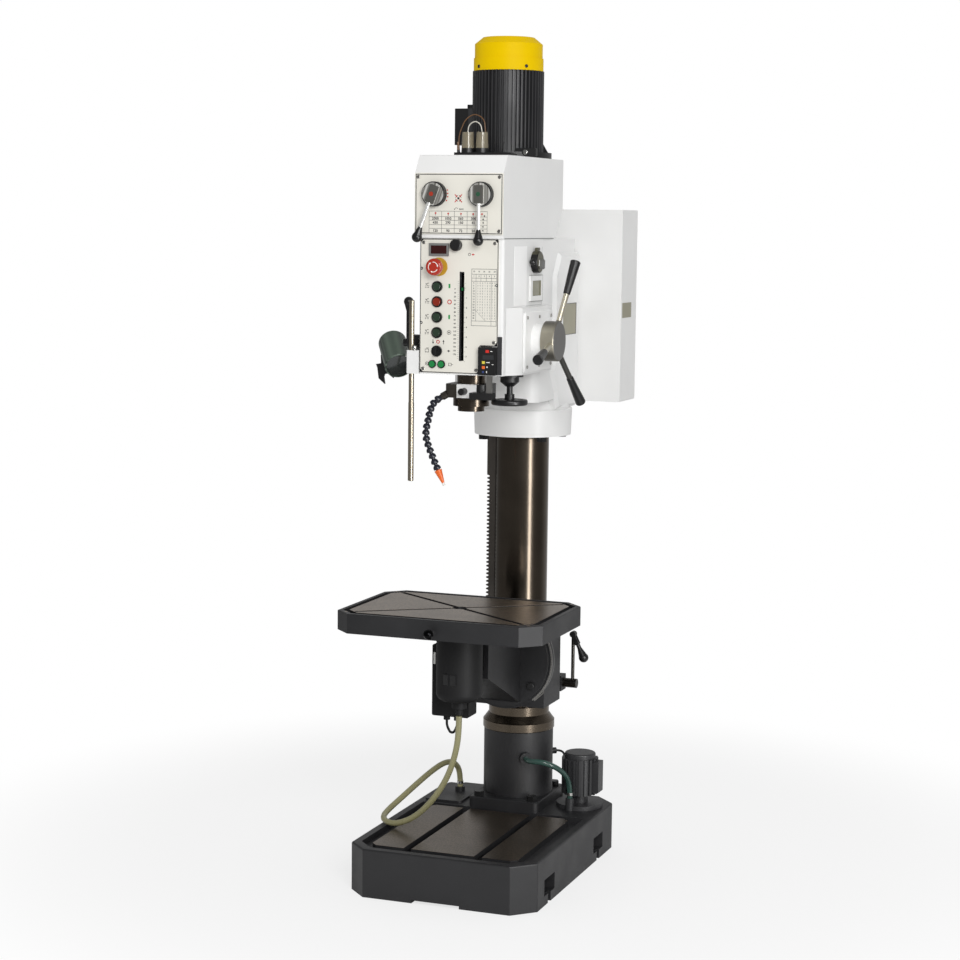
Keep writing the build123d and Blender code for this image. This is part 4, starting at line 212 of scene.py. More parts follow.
# %% [markdown]
# ## Paint over metal
# The castings are sprayed: a charcoal coat below and a white one above. Sprayed paint is never flat. It has
# an orange-peel skin of fine bumps, and broad patches where the coat is a little thicker, darker or duller.
# One function makes both coats. The method over lays another finish on the faces that a mask picks, such as
# machined or black ones, because a node keeps one material.

# %% Painted finishes
GLOSS_SWING = 0.10


def coat(name, colour, roughness, grain=700.0, depth=0.00010, patch=0.06, metallic=0.0, **constants):
    """A sprayed or moulded skin with fine bumps and soft patches."""
    finish = Finish(name, colour, roughness, metallic, **constants)
    cloud = finish.noise(scale=7.0, detail=4.0).ramp(low=0.35, high=0.65)
    finish.colour = finish.mix(cloud, shade(colour, 1 - patch), shade(colour, 1 + patch))
    finish.gloss = roughness + (cloud - 0.5) * GLOSS_SWING
    finish.metal = None
    finish.bump(finish.noise(scale=grain, detail=2.0), depth)
    return finish


def done(finish):
    """Joins the gathered colour, roughness and metallic sums to the shader."""
    finish.feed("Base Color", finish.colour)
    finish.feed("Roughness", finish.gloss)
    if finish.metal is not None:
        finish.feed("Metallic", finish.metal)
    return finish.material


def wear(finish, *names):
    """Gives CAD nodes this finish in every material slot."""
    material = done(finish)
    for name in names:
        obj = nodes[name]
        if not obj.material_slots:
            obj.data.materials.append(material)
        for slot in obj.material_slots:
            slot.material = material
    print(material.name, "on", ", ".join(names))
    return material


CHARCOAL = tone(34, 34, 36)
WHITE = tone(233, 233, 232)
CREAM = tone(228, 225, 215)
BLACK = tone(22, 22, 23)
STEEL = tone(170, 168, 164)
BRIGHT = tone(176, 174, 170)
SCRAPED = tone(128, 115, 101)

# %% [markdown]
# ## Charcoal castings
# The base, foot, arm and table are charcoal. The bed on the base and the table's top are machined: brown-grey
# iron with fine tool lines. Their faces lie on known planes, so a mask on height and outline finds them. The
# arm's tilt flange has two bright lips, which a mask on the distance from the tilt axis finds.

# %% Base, table and foot
def machined(finish, level):
    """The colour of a bare machined face: fine lines along X, grain and oil stains."""
    iron = shade(SCRAPED, level)
    lines = finish.noise(scale=3.0, detail=3.0, stretch=(4, 400, 1))
    grain = finish.noise(scale=230.0, detail=1.0, stretch=(1, 0.5, 1)).ramp(low=0.4, high=0.6)
    stain = finish.noise(scale=9.0, detail=5.0).ramp(low=0.42, high=0.7)
    streaked = finish.mix(lines * 0.4 + grain * 0.6, shade(iron, 0.68), shade(iron, 1.3))
    return finish.mix(stain * 0.45, streaked, shade(iron, 0.55))


def cast_paint(name):
    return coat(name, CHARCOAL, roughness=0.48, grain=520.0, depth=0.00022, patch=0.10)


def level_face(finish, above, half_width, middle, half_depth):
    """1 on what lies above a height, inside a rectangle that is centred across X."""
    x, y, z = finish.axes()
    return (z > above) * (x.size() < half_width) * y.near(middle, half_depth)


base_paint = cast_paint("base_paint")
bed = level_face(base_paint, above=0.1303, half_width=0.2075, middle=-0.371, half_depth=0.2215)
base_paint.over(bed, machined(base_paint, level=0.66), roughness=0.32, metallic=0.85)
wear(base_paint, "base")

table_paint = cast_paint("table_paint")
top = level_face(table_paint, above=0.7670, half_width=0.2575, middle=-0.4802, half_depth=0.176)
table_paint.over(top, machined(table_paint, level=1.06), roughness=0.3, metallic=0.85)
wear(table_paint, "table")
wear(cast_paint("foot_paint"), "column_foot", "tank_cover")

# %% Bright lips of the tilt flange
TILT_Z = 0.568
FLANGE_Y = -0.122
arm_paint = cast_paint("arm_paint")
x, y, z = arm_paint.axes()
off_tilt = x.squared() + (z - TILT_Z).squared()
rim = (off_tilt > 0.1385**2) * (off_tilt < 0.1462**2) * (x > 0.085)
lips = y.near(FLANGE_Y, reach=0.0096) * (1 - y.near(FLANGE_Y, reach=0.0072))
arm_paint.over(rim * lips, shade(STEEL, 0.9), roughness=0.3, metallic=0.9)
wear(arm_paint, "table_arm")

# %% White castings and sheet
white = coat("white_paint", WHITE, 0.36, grain=850.0, depth=0.00006, patch=0.012, Specular_IOR_Level=0.2)
x, y, z = white.axes()
# The head is painted black behind the depth slot: painted shade seen through the slot.
painted_shade_behind_slot = y.near(-0.4675, reach=0.012) * (x.size() < 0.03) * (z > 1.4) * (z < 1.7)
white.over(painted_shade_behind_slot, BLACK, roughness=0.6)
white_coat = wear(white, "head_body", "gear_case", "cabinet", "cabinet_door")
cover = coat("cover_paint", tone(241, 241, 240), 0.36, depth=0.00006, patch=0.01, Specular_IOR_Level=0.2)
wear(cover, "feed_cover")

# The guard block is white; the worm bush on the right and the lamp bracket behind it are black.
bracket = coat("bracket_paint", WHITE, 0.36, grain=850.0, depth=0.00006, patch=0.012)
x, y, z = bracket.axes()
bracket.over((x > 0.02) + (y > -0.47), BLACK, roughness=0.4)
wear(bracket, "head_brackets")

# The stop clamp's left end and hose nipple are bare steel; its front knob and scale lug are black.
collar = coat("clamp_paint", WHITE, 0.36, patch=0.02)
x, y, z = collar.axes()
collar.over(x < -0.022, tone(74, 70, 64), roughness=0.36, metallic=0.7)
collar.over((y < -0.4657) + (x > 0.034), BLACK, roughness=0.4)
wear(collar, "stop_clamp")

# %% Cream panels, with painted shade in the depth slot
SLOT_X = 0.011
panel = coat("panel_print", CREAM, 0.42, grain=1500.0, depth=0.00002, patch=0.015)
x, y, z = panel.axes()
# The slot's walls are painted black: painted shade in the recess.
shaded_slot_walls = x.near(SLOT_X, reach=0.00405) * z.near(1.54, reach=0.1152)
panel.over(shaded_slot_walls, BLACK, roughness=0.6)
wear(panel, "upper_panel", "lower_panel")

# %% [markdown]
# ## Motors, knobs and buttons
# The motor and the pump share the dark frame paint. The fan cowl is signal yellow. Grips, knobs and switches
# are moulded plastic with a finer skin than paint has, and the buttons are glossier.

# %% Motors and plastics
frame_paint = coat("motor_paint", tone(50, 50, 52), 0.46, grain=600.0, depth=0.00015, patch=0.08)
x, y, z = frame_paint.axes()
terminal_box = x < -0.0985
motor_flange = (z < 1.9722) * (z > 1.9)
frame_paint.over(terminal_box + motor_flange, BLACK, roughness=0.42)
wear(frame_paint, "motor_body", "pump_body", "motor_rotor", "pump_rotor")
cowl = coat("cowl_yellow", tone(232, 194, 0), 0.45, grain=900.0, depth=0.00005, patch=0.04,
            Specular_IOR_Level=0.04)
wear(cowl, "motor_cowl")

moulded = coat("black_moulding", BLACK, 0.38, grain=1400.0, depth=0.00005, patch=0.12)
wear(moulded, "feed_grips", "handwheel", "black_knob", "selector_switch", "lock_lever", "crank_handle")
pot = coat("pot_paint", tone(23, 23, 24), 0.6, patch=0.06, Specular_IOR_Level=0.25)
wear(pot, "catch_pot", "switch_box")
wear(coat("relay_grey", tone(168, 170, 172), 0.5, grain=1200.0, depth=0.00004), "control_gear")


# %% Buttons
def button_skin(name, colour, roughness=0.2):
    return coat(name, colour, roughness, grain=1800.0, depth=0.00001, Coat_Weight=0.4)


wear(button_skin("button_green", tone(38, 57, 42)), "button_1", "button_3", "button_4")
wear(button_skin("button_red", tone(134, 36, 14)), "button_2")
wear(button_skin("stop_red", tone(170, 40, 20), roughness=0.24), "estop")

# %% Lamp body, with painted reflections as soft streaks along its barrel
lamp_paint = coat("lamp_paint", tone(60, 74, 64), 0.34, grain=900.0, depth=0.00008, patch=0.1)
x, y, z = lamp_paint.axes()
# Light and dark bands across the barrel are painted reflections of its gloss paint.
across_barrel = y * 0.569 + z * -0.822
painted_reflection_bands = lamp_paint.bands(across_barrel, rate=70, detail=1.0).ramp(low=0.4, high=0.62)
lamp_paint.colour = lamp_paint.mix(painted_reflection_bands, tone(40, 50, 44), tone(92, 106, 94))
ear = y.near(-0.4, reach=0.0033) * (x < -0.245) * (z < 1.43)
lamp_paint.over(ear, BLACK, roughness=0.4)
wear(lamp_paint, "lamp_head")

# %% [markdown]
# ## Bare steel
# The column is ground and polished, dark with oil. Rods and spokes are chromed, and gears, rack and bolts are
# plain. All of them are metal with fine lines round or along the piece, so roughness varies more than colour.

# %% Steel finishes
LINE_SWING = 0.12
CLOUD_SWING = 0.1


def metal(name, colour, roughness, stretch):
    """Bare steel with fine lines drawn out along one direction."""
    finish = Finish(name, colour, roughness, metallic=1.0)
    lines = finish.noise(scale=2.0, detail=4.0, stretch=stretch)
    cloud = finish.noise(scale=11.0, detail=3.0).ramp(low=0.3, high=0.7)
    finish.colour = finish.mix(cloud, shade(colour, 1 - CLOUD_SWING), shade(colour, 1 + CLOUD_SWING))
    finish.gloss = roughness + (lines - 0.5) * LINE_SWING
    finish.metal = None
    return finish


ROUND_LINES = (30, 30, 900)
CUT_LINES = (60, 60, 600)
EVEN_LINES = (300, 300, 300)
wear(metal("column_polish", tone(88, 80, 71), 0.22, ROUND_LINES), "column", "quill", "spindle")
wear(metal("ring_polish", tone(98, 89, 78), 0.27, ROUND_LINES), "column_ring")
wear(metal("plain_steel", tone(150, 147, 142), 0.32, CUT_LINES), "layshaft", "spindle_sleeve",
     "gear_bearings", "quill_bearings", "lift_gear", "feed_shaft")
rack_steel = wear(metal("rack_steel", tone(108, 103, 98), 0.34, CUT_LINES), "rack")
wear(metal("bright_rod", tone(172, 163, 146), 0.3, (20, 20, 4)), "guard_rod")
wear(metal("dark_steel", tone(76, 74, 70), 0.3, (200, 200, 20)), "lift_shaft")

# %% Feed selector, with a black rim and ball
SELECTOR_Y = -0.274
SELECTOR_Z = 1.68
SELECTOR_FACE_R = 0.0268
selector_metal = metal("selector_metal", tone(104, 102, 88), 0.36, (40, 200, 200))
x, y, z = selector_metal.axes()
off_selector = (y - SELECTOR_Y).squared() + (z - SELECTOR_Z).squared()
rim = (off_selector > SELECTOR_FACE_R**2) * (z < 1.7)
selector_metal.over(rim, BLACK, roughness=0.4, metallic=0.3)
ball = y < -0.3035
selector_metal.over(ball, BLACK, roughness=0.25)
wear(selector_metal, "feed_selector")

# %% Feed hub, with painted shade above and below the middle of its drum, a grey face and a shaded lower spoke
HUB_Y = -0.345
HUB_Z = 1.474
HUB_R = 0.056
hub_steel = metal("hub_steel", tone(196, 190, 172), 0.3, (8, 300, 300))
hub_steel.metal = 0.8
x, y, z = hub_steel.axes()
off_hub = (y - HUB_Y).squared() + (z - HUB_Z).squared()
# The drum is painted darker above and below its middle: painted shade where its round side turns away from
# the light.
painted_drum_shade = (z - 1.482).size().ramp(low=0.012, high=0.044) * (off_hub < HUB_R**2)
hub_steel.over(painted_drum_shade * 0.85, tone(78, 77, 74), roughness=0.4, metallic=0.6)
face = (x > 0.2205) * (off_hub < 0.054**2)
hub_steel.over(face, tone(110, 109, 107), roughness=0.55, metallic=0.3)
# The spoke below the hub is painted dark: painted shade, as it lies in shadow.
shaded_lower_spoke = (z < 1.4385) * (off_hub > HUB_R**2)
hub_steel.over(shaded_lower_spoke, tone(74, 73, 70), roughness=0.4, metallic=0.6)
wear(hub_steel, "feed_hub")

# %% Bolts, table knob and scale beam
bolt_steel = metal("bolt_steel", BRIGHT, 0.3, EVEN_LINES)
x, y, z = bolt_steel.axes()
black_bolts = (z < 1.21) + (z > 1.95)
bolt_steel.over(black_bolts, BLACK, roughness=0.42, metallic=0.2)
wear(bolt_steel, "fasteners")

ball_steel = metal("table_knob", BRIGHT, 0.3, EVEN_LINES)
x, y, z = ball_steel.axes()
ball_steel.over(y < -0.69, BLACK, roughness=0.25)
wear(ball_steel, "table_fittings")

beam_steel = metal("scale_beam", BRIGHT, 0.3, (200, 200, 8))
x, y, z = beam_steel.axes()
pointer = x < 0.03
beam_steel.over(pointer, BLACK, roughness=0.3)
pointer_mark = (y < -0.5133) * x.near(SLOT_X, reach=0.003) * z.near(1.611, reach=0.0036)
beam_steel.over(pointer_mark, tone(60, 170, 100), roughness=0.3)
wear(beam_steel, "quill_scale")

# %% [markdown]
# ## Fittings in several colours
# A speed lever is one node, but it has a brushed disc, a grey bar, a chromed rod and a black knob. Its masks
# are measured from the lever's own pivot, down its lean and aside from it. The panel's fittings and the
# coolant hose are masked in the same way, by where each part lies.

# %% Speed levers
LEVER_X = 0.0645
LEVER_Z = 1.855
DISC_R = 0.0293
BAR_HALF = 0.0235
ROD_START = 0.0232
KNOB_START = 0.0905


def lever_finish(name, pivot_x, lean):
    """A brushed disc with a black rim, a grey finger bar, a chromed rod and a black drop knob."""
    finish = coat(name, tone(176, 175, 172), 0.3, grain=900.0, depth=0.00002, patch=0.05, metallic=0.45)
    x, y, z = finish.axes()
    down = (x - pivot_x) * -math.sin(lean) + (z - LEVER_Z) * -math.cos(lean)
    aside = (x - pivot_x) * math.cos(lean) - (z - LEVER_Z) * math.sin(lean)
    brushed = finish.bands(aside, rate=160, detail=2.0).ramp(low=0.4, high=0.62)
    finish.colour = finish.mix(brushed, tone(134, 132, 126), tone(236, 235, 230))
    proud = y < -0.5413
    rim = (down.squared() + aside.squared() > DISC_R**2) + (1 - proud) * (y > -0.538)
    finish.over(rim, BLACK, roughness=0.4)
    finish.over(proud * (down.size() < BAR_HALF), tone(98, 97, 92), roughness=0.45)
    finish.over(proud * (down > ROD_START), tone(238, 238, 236), roughness=0.16, metallic=0.5)
    finish.over(down > KNOB_START, BLACK, roughness=0.3)
    return finish


wear(lever_finish("left_lever", -LEVER_X, math.radians(20)), "speed_lever_left")
wear(lever_finish("right_lever", LEVER_X, 0.0), "speed_lever_right")

# %% Panel fittings
STOP_X = -0.0558
STOP_Z = 1.6675
DISPLAY_X = -0.0557
DISPLAY_Z = 1.712
WINDOW_Y = -0.262
WINDOW_Z = 1.610
fittings = coat("fitting_black", BLACK, 0.38, grain=1400.0, depth=0.00004)
x, y, z = fittings.axes()
front = y < -0.5
side = y > -0.4
stop_plate = front * x.near(STOP_X, reach=0.0246) * z.near(STOP_Z, reach=0.0246)
fittings.over(stop_plate, tone(194, 152, 44), roughness=0.4)
bezel = front * x.near(DISPLAY_X, reach=0.028) * z.near(DISPLAY_Z, reach=0.017)
fittings.over(bezel, tone(120, 120, 118), roughness=0.4)
display = front * x.near(DISPLAY_X, reach=0.0217) * z.near(DISPLAY_Z, reach=0.0107)
fittings.over(display, tone(52, 14, 12), roughness=0.15)
pilot_lamps = (y < -0.5174) * (z < 1.43) * (x < 0)
fittings.over(pilot_lamps, tone(30, 128, 66), roughness=0.2)
readout_strip = front * (x > 0.1086)
fittings.over(readout_strip, tone(56, 56, 58), roughness=0.4)
fittings.over(side, WHITE, roughness=0.36)
pane_edge = (y - WINDOW_Y > 0.0464) + ((z - WINDOW_Z).size() > 0.0334)
fittings.over(side * pane_edge, tone(120, 122, 118), roughness=0.4)
pane = side * y.near(WINDOW_Y, reach=0.0332) * z.near(WINDOW_Z, reach=0.0202)
fittings.over(pane, tone(134, 132, 112), roughness=0.12)
wear(fittings, "panel_fittings")

# %% Coolant hose links, with an orange nozzle and a pale tip
NOZZLE_X = -0.079
NOZZLE_Z = 1.134
links = coat("hose_links", tone(34, 36, 46), 0.3, grain=1600.0, depth=0.00002)
x, y, z = links.axes()
along = (x - NOZZLE_X) * 0.42 - (z - NOZZLE_Z) * 0.907
links.over(along > 0.0055, tone(236, 108, 34), roughness=0.32)
links.over(along > 0.0424, tone(226, 224, 218), roughness=0.32)
wear(links, "coolant_hose")

# %% [markdown]
# ## Clear cups
# The oil cups are pale, see-through plastic on a black tray, with bent pipes over them. One node holds them
# all, so two shaders share it: a clear one and a solid one, mixed by a mask on height.

# %% Oil cups
CUP_LOW = 1.98
CUP_TOP = 2.0222
CUP_LEFT = -0.0795
cups = coat("oil_cups", BLACK, 0.4)
x, y, z = cups.axes()
pipes = (z > CUP_TOP) + (x < CUP_LEFT) * (z > 1.975)
cups.over(pipes, tone(206, 202, 192), roughness=0.3)
brown_pipe = pipes * ((y > -0.3) + (x < CUP_LEFT))
cups.over(brown_pipe, tone(112, 80, 52), roughness=0.3)
wear(cups, "oil_feed")
glassy = (z > CUP_LOW) * (z < CUP_TOP) * (x > CUP_LEFT) * (x < 0.0)
plastic = {"Base Color": (*tone(186, 176, 152), 1.0), "Roughness": 0.14, "Transmission Weight": 0.6}
cups.mix_in(glassy, cups.add("ShaderNodeBsdfPrincipled", None, plastic))

# %% [markdown]
# ## Hoses and the pump cable
# A hose is drawn by its route: a few points that the tube bends round. A NURBS spline of order three takes
# the points as controls, so the line is smooth and passes near them. The drain hose hangs from the table, so
# it is made a mesh.

# %% Hose routes
def millimetres(*points):
    return [tuple(value / 1000 for value in point) for point in points]


DRAIN_ROUTE = millimetres(
    (0, -480.2, 475), (0, -480.2, 423), (-16, -468.2, 358), (-46, -450, 289), (-92, -440, 222),
    (-144, -431, 171), (-200, -422, 143.7), (-240, -408, 141.7), (-265, -372, 145.7), (-270, -316, 152),
    (-258, -255, 170), (-240, -190, 195), (-219, -124, 221), (-201, -66, 236), (-187, -26, 228),
    (-180, 5, 196), (-180, 5, 150),
)
SUPPLY_ROUTE = millimetres(
    (58, -100.46, 278), (75, -129.9, 278), (124, -146, 286), (168, -112, 260), (176, -56, 210),
    (176, -56, 166),
)
CABLE_ROUTE = millimetres(
    (91.04, 68.61, 268), (108.61, 81.85, 268), (115.0, 86.66, 238), (118.88, 62.55, 228),
    (123.44, 58.65, 196), (138.64, 45.65, 196),
)


def show(name, data):
    """A new object of this data, put into the scene."""
    obj = bpy.data.objects.new(name, data)
    bpy.context.scene.collection.objects.link(obj)
    return obj


def route_curve(name, points, radius):
    """A NURBS tube along a route; a radius of 0 leaves the bare line."""
    curve = bpy.data.curves.new(name, "CURVE")
    curve.dimensions = "3D"
    curve.resolution_u = 12
    curve.bevel_depth = radius
    curve.bevel_resolution = 5
    curve.use_fill_caps = radius > 0
    spline = curve.splines.new("NURBS")
    spline.points.add(len(points) - 1)
    for point, place in zip(spline.points, points):
        point.co = (*place, 1.0)
    spline.order_u = 3
    spline.use_endpoint_u = True
    return show(name, curve)


def as_mesh(obj):
    """The object's evaluated shape as a plain mesh."""
    graph = bpy.context.evaluated_depsgraph_get()
    return bpy.data.meshes.new_from_object(obj.evaluated_get(graph))


def hose_finish(name, colour, roughness, clear):
    """A hose or cable skin: tinted, a little cloudy, and see-through by a share."""
    finish = coat(name, colour, roughness, grain=300.0, depth=0.00003, patch=0.08, Transmission_Weight=clear)
    return done(finish)


drain_clear = hose_finish("drain_clear", tone(154, 150, 112), roughness=0.3, clear=0.15)
supply_clear = hose_finish("supply_clear", tone(66, 96, 88), roughness=0.24, clear=0.25)
cable_black = hose_finish("cable_black", BLACK, roughness=0.5, clear=0.0)
print("hose points", len(DRAIN_ROUTE), len(SUPPLY_ROUTE), len(CABLE_ROUTE))

# %% Drain hose
DRAIN_RADIUS = 0.0082
bare_line = route_curve("drain_line", DRAIN_ROUTE, radius=0.0)
drain_path = [tuple(v.co) for v in as_mesh(bare_line).vertices]
bpy.data.objects.remove(bare_line)
tube = route_curve("drain_tube", DRAIN_ROUTE, DRAIN_RADIUS)
drain_mesh = as_mesh(tube)
bpy.data.objects.remove(tube)
drain = show("drain_hose_tube", drain_mesh)
drain_mesh.materials.clear()
drain_mesh.materials.append(drain_clear)
drain_mesh.shade_smooth()
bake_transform(drain)
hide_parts("drain_hose")


# %% Supply hose and pump cable
def free_cord(name, points, material, node, radius, length):
    """A smooth free cord that stands for its CAD tube."""
    obj = route_curve(name, points, radius)
    obj.data.materials.append(material)
    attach(obj, "machine")
    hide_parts(node)
    print(name, "declared at", length)


free_cord("supply_hose_tube", SUPPLY_ROUTE, supply_clear, "supply_hose",
          radius=0.0076, length=0.256)
free_cord("pump_cable_sheath", CABLE_ROUTE, cable_black, "pump_cable",
          radius=0.0032, length=0.12)

# %% [markdown]
# ## Printed panels
# The panels carry fine printing: a border, a speed table, a depth scale and small signs. Printing has no
# thickness to speak of, so each colour is one mesh of flat faces a fifth of a millimetre in front of the
# plate. The evenly spaced marks come from Geometry Nodes: one bar repeated along a line.

# %% Flat printing tools
def settle(name, mesh, body, material):
    """Makes a finished mesh a piece of the machine that rides on a body."""
    obj = show(name, mesh)
    mesh.materials.clear()
    mesh.materials.append(material)
    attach(obj, body)
    print(name, "on", body, "has", len(mesh.polygons), "faces")


def bake(name, bm):
    """Turns a shape under construction into a mesh and frees it."""
    mesh = bpy.data.meshes.new(name)
    bm.to_mesh(mesh)
    bm.free()
    return mesh


class Sheet:
    """Flat shapes on an upright plane that faces the operator, in millimetres across X and up Z."""

    def __init__(self, depth):
        self.depth = depth
        self.bm = bmesh.new()

    def shape(self, points):
        verts = [self.bm.verts.new((px / 1000, self.depth / 1000, pz / 1000)) for px, pz in points]
        self.bm.faces.new(verts)

    def polar(self, px, pz, corners):
        """A shape whose corners are (radius, angle) pairs round a point."""
        self.shape([(px + r * math.cos(t), pz + r * math.sin(t)) for r, t in corners])

    def bar(self, x0, x1, z0, z1):
        self.shape([(x0, z0), (x1, z0), (x1, z1), (x0, z1)])

    def border(self, x0, x1, z0, z1, line):
        self.bar(x0, x1, z0, z0 + line)
        self.bar(x0, x1, z1 - line, z1)
        self.bar(x0, x0 + line, z0 + line, z1 - line)
        self.bar(x1 - line, x1, z0 + line, z1 - line)

    def dot(self, px, pz, radius, sides=16):
        turn = 2 * math.pi / sides
        self.polar(px, pz, [(radius, turn * k) for k in range(sides)])

    def arc(self, px, pz, inner, outer, start, end, steps=10):
        """A curved stroke from one angle to another, in degrees."""
        for step in range(steps):
            a = math.radians(start + (end - start) * step / steps)
            b = math.radians(start + (end - start) * (step + 1) / steps)
            self.polar(px, pz, ((inner, a), (outer, a), (outer, b), (inner, b)))

    def figures(self, words, px, pz, height):
        """Numbers set a little bold in the built-in letters, centred on a point."""
        font = bpy.data.curves.new("figures", "FONT")
        font.body = words
        font.size = height / 1000
        font.align_x = "CENTER"
        font.align_y = "CENTER"
        font.resolution_u = 2
        font.offset = height / 40000
        obj = show("figures", font)
        mesh = as_mesh(obj)
        bpy.data.objects.remove(obj)
        place = Matrix.Translation((px / 1000, self.depth / 1000, pz / 1000))
        mesh.transform(place @ Matrix.Rotation(math.pi / 2, 4, "X"))
        self.bm.from_mesh(mesh)
        bpy.data.meshes.remove(mesh)

    def piece(self, name, body, material):
        settle(name, bake(name, self.bm), body, material)


def ink(name, colour):
    return done(coat(name, colour, roughness=0.45, grain=2000.0, depth=0.00001, patch=0.03))


ink_black = ink("ink_black", tone(26, 27, 32))
ink_red = ink("ink_red", tone(196, 40, 32))
ink_green = ink("ink_green", tone(36, 150, 76))
ink_white = ink("ink_white", tone(236, 236, 232))
ink_grey = ink("ink_grey", tone(104, 104, 102))

# %% Upper panel printing
UPPER_FACE = -521.5
HAIR = 0.4
ROW_LINES = (1811, 1797, 1787.5, 1776, 1766.5, 1755)
COLUMN_LINES = (-81.4, -46.5, -11.3, 24.1, 58.2, 79.2)
SPEEDS = (
    (1792, ("2000", "1050", "560", "300")),
    (1781.5, ("430", "290", "150", "82")),
    (1760.5, ("120", "90", "72", "50")),
)
HEADS = ((-63.5, 1806), (-28.4, 1805), (7, 1804.6), (40.6, 1804.4), (64.8, 1804.4))
WEDGES = ((71.4, 1799.5), (68, 1791), (67.8, 1782), (67.4, 1772), (67.2, 1762))
STAR_X = -0.6
STAR_Z = 1844.3
speeds = Sheet(UPPER_FACE)
speeds.border(-119.5, 119.5, 1753.5, 1906.5, line=2.0)
for height in ROW_LINES:
    speeds.bar(COLUMN_LINES[0], COLUMN_LINES[-1], height - HAIR, height + HAIR)
for across in COLUMN_LINES:
    speeds.bar(across - HAIR, across + HAIR, ROW_LINES[-1], ROW_LINES[0])
for height, row in SPEEDS:
    for column, words in enumerate(row):
        speeds.figures(words, -64 + 35.2 * column, height, 9.4)
for across, height in HEADS:
    speeds.bar(across - 0.6, across + 0.6, height - 6, height - 2)
for across, height in WEDGES:
    speeds.shape([(across - 3, height), (across + 2, height - 2.6), (across + 2, height + 2.6)])
for start in (10, 100, 190, 280):
    speeds.arc(STAR_X, STAR_Z, 7.0, 8.4, start, start + 70, steps=6)
speeds.dot(STAR_X, STAR_Z, radius=3.0)
speeds.arc(-6, 1815.5, 4.0, 5.0, 20, 170, steps=8)
speeds.shape([(-12.5, 1817), (-9.5, 1817), (-11, 1813.5)])
for across in (2, 5, 8.4, 11.6):
    speeds.bar(across, across + 1.6, 1814.5, 1818.5)
speeds.piece("upper_printing", "machine", ink_black)

# %% Red dots and star rays of the upper panel
SIDE_DOTS = ((-31.3, 1865.1), (-30.1, 1856.6), (-30.3, 1848.2), (-33.5, 1838.4))
RAY_ENDS = ((3, -0.8), (3, 0.8), (10, 0.8), (10, -0.8))
marks = Sheet(UPPER_FACE - 0.1)
for across, height in HEADS:
    marks.dot(across, height, radius=2.4)
for across, height in SIDE_DOTS:
    marks.dot(across, height, radius=1.9)
for right in (-1, 1):
    for over in (-1, 1):
        marks.shape([(STAR_X + right * (far + lean), STAR_Z + over * (far - lean)) for far, lean in RAY_ENDS])
marks.piece("speed_dots", "machine", ink_red)

# %% Lower panel border and button signs
LOWER_FACE = -513.5
EDGES = (
    (-108.2, -106.2, 1393, 1739), (106.2, 108.2, 1466, 1739), (57.8, 59.8, 1393, 1465),
    (-108.2, 108.2, 1737.7, 1739.7), (59.8, 108.2, 1465.3, 1467.3), (-108.2, 59.8, 1392.3, 1394.3),
)
CORNERS = (
    (-108.2, 1739.7, 1, -1), (108.2, 1739.7, -1, -1), (-108.2, 1392.3, 1, 1),
    (59.8, 1392.3, -1, 1), (108.2, 1465.3, -1, 1),
)
CORNER_CUT = 11
EDGE_SCREWS = ((-104.4, 1663), (-104.4, 1522), (104.4, 1622))
BUTTON_ROWS = (1618.5, 1578, 1537, 1497.5)
lower = Sheet(LOWER_FACE)
for edge in EDGES:
    lower.bar(*edge)
for px, pz, inward, upward in CORNERS:
    lower.shape([(px, pz), (px + CORNER_CUT * inward, pz), (px, pz + CORNER_CUT * upward)])
for px, pz in EDGE_SCREWS:
    lower.dot(px, pz, radius=3.8)
for pz in BUTTON_ROWS:
    lower.arc(-85.5, pz + 2.5, 3.2, 4.5, 60, 320, steps=12)
    lower.bar(-94, -90.5, pz - 5.5, pz - 4.2)
    lower.bar(-94, -90.5, pz - 2.0, pz - 0.8)
    lower.shape([(-92.5, pz + 1.5), (-90, pz + 4), (-92.5, pz + 6.5)])
    lower.bar(-88, -83, pz - 5.6, pz - 4.4)

# %% Lower panel signs beside the knobs and lamps
lower.arc(-26.1, 1497.7, 4.8, 5.8, 0, 360, steps=20)
lower.bar(-29, -23.2, 1496.9, 1498.5)
lower.bar(-26.9, -25.3, 1494.8, 1500.6)
lower.bar(-71.6, -69.9, 1471, 1478.5)
lower.shape([(-73.4, 1472), (-70.7, 1466.5), (-68, 1472)])
lower.bar(-42.1, -40.5, 1466.5, 1474)
lower.shape([(-44, 1473), (-38.6, 1473), (-41.3, 1478.5)])
lower.shape([(-31, 1449.5), (-25.5, 1446), (-25.5, 1453)])
lower.bar(-25.5, -22.5, 1448.7, 1450.3)
lower.border(-93, -82.5, 1444.5, 1453.5, line=1.1)
lower.bar(-90, -82.5, 1455, 1456.3)
lower.arc(-87.5, 1415, 3.4, 4.8, 0, 360, steps=16)
lower.dot(-87.5, 1415, radius=1.6)
lower.border(-27.5, -18.5, 1410.5, 1418.5, line=1.1)
lower.bar(-18.5, -14.5, 1413.9, 1415.1)
lower.arc(28.7, 1700.6, 2.6, 3.8, 0, 360, steps=16)
lower.bar(2.2, 7.0, 1424.5, 1656)
print("signs for", len(BUTTON_ROWS), "buttons, the knobs and the lamps")

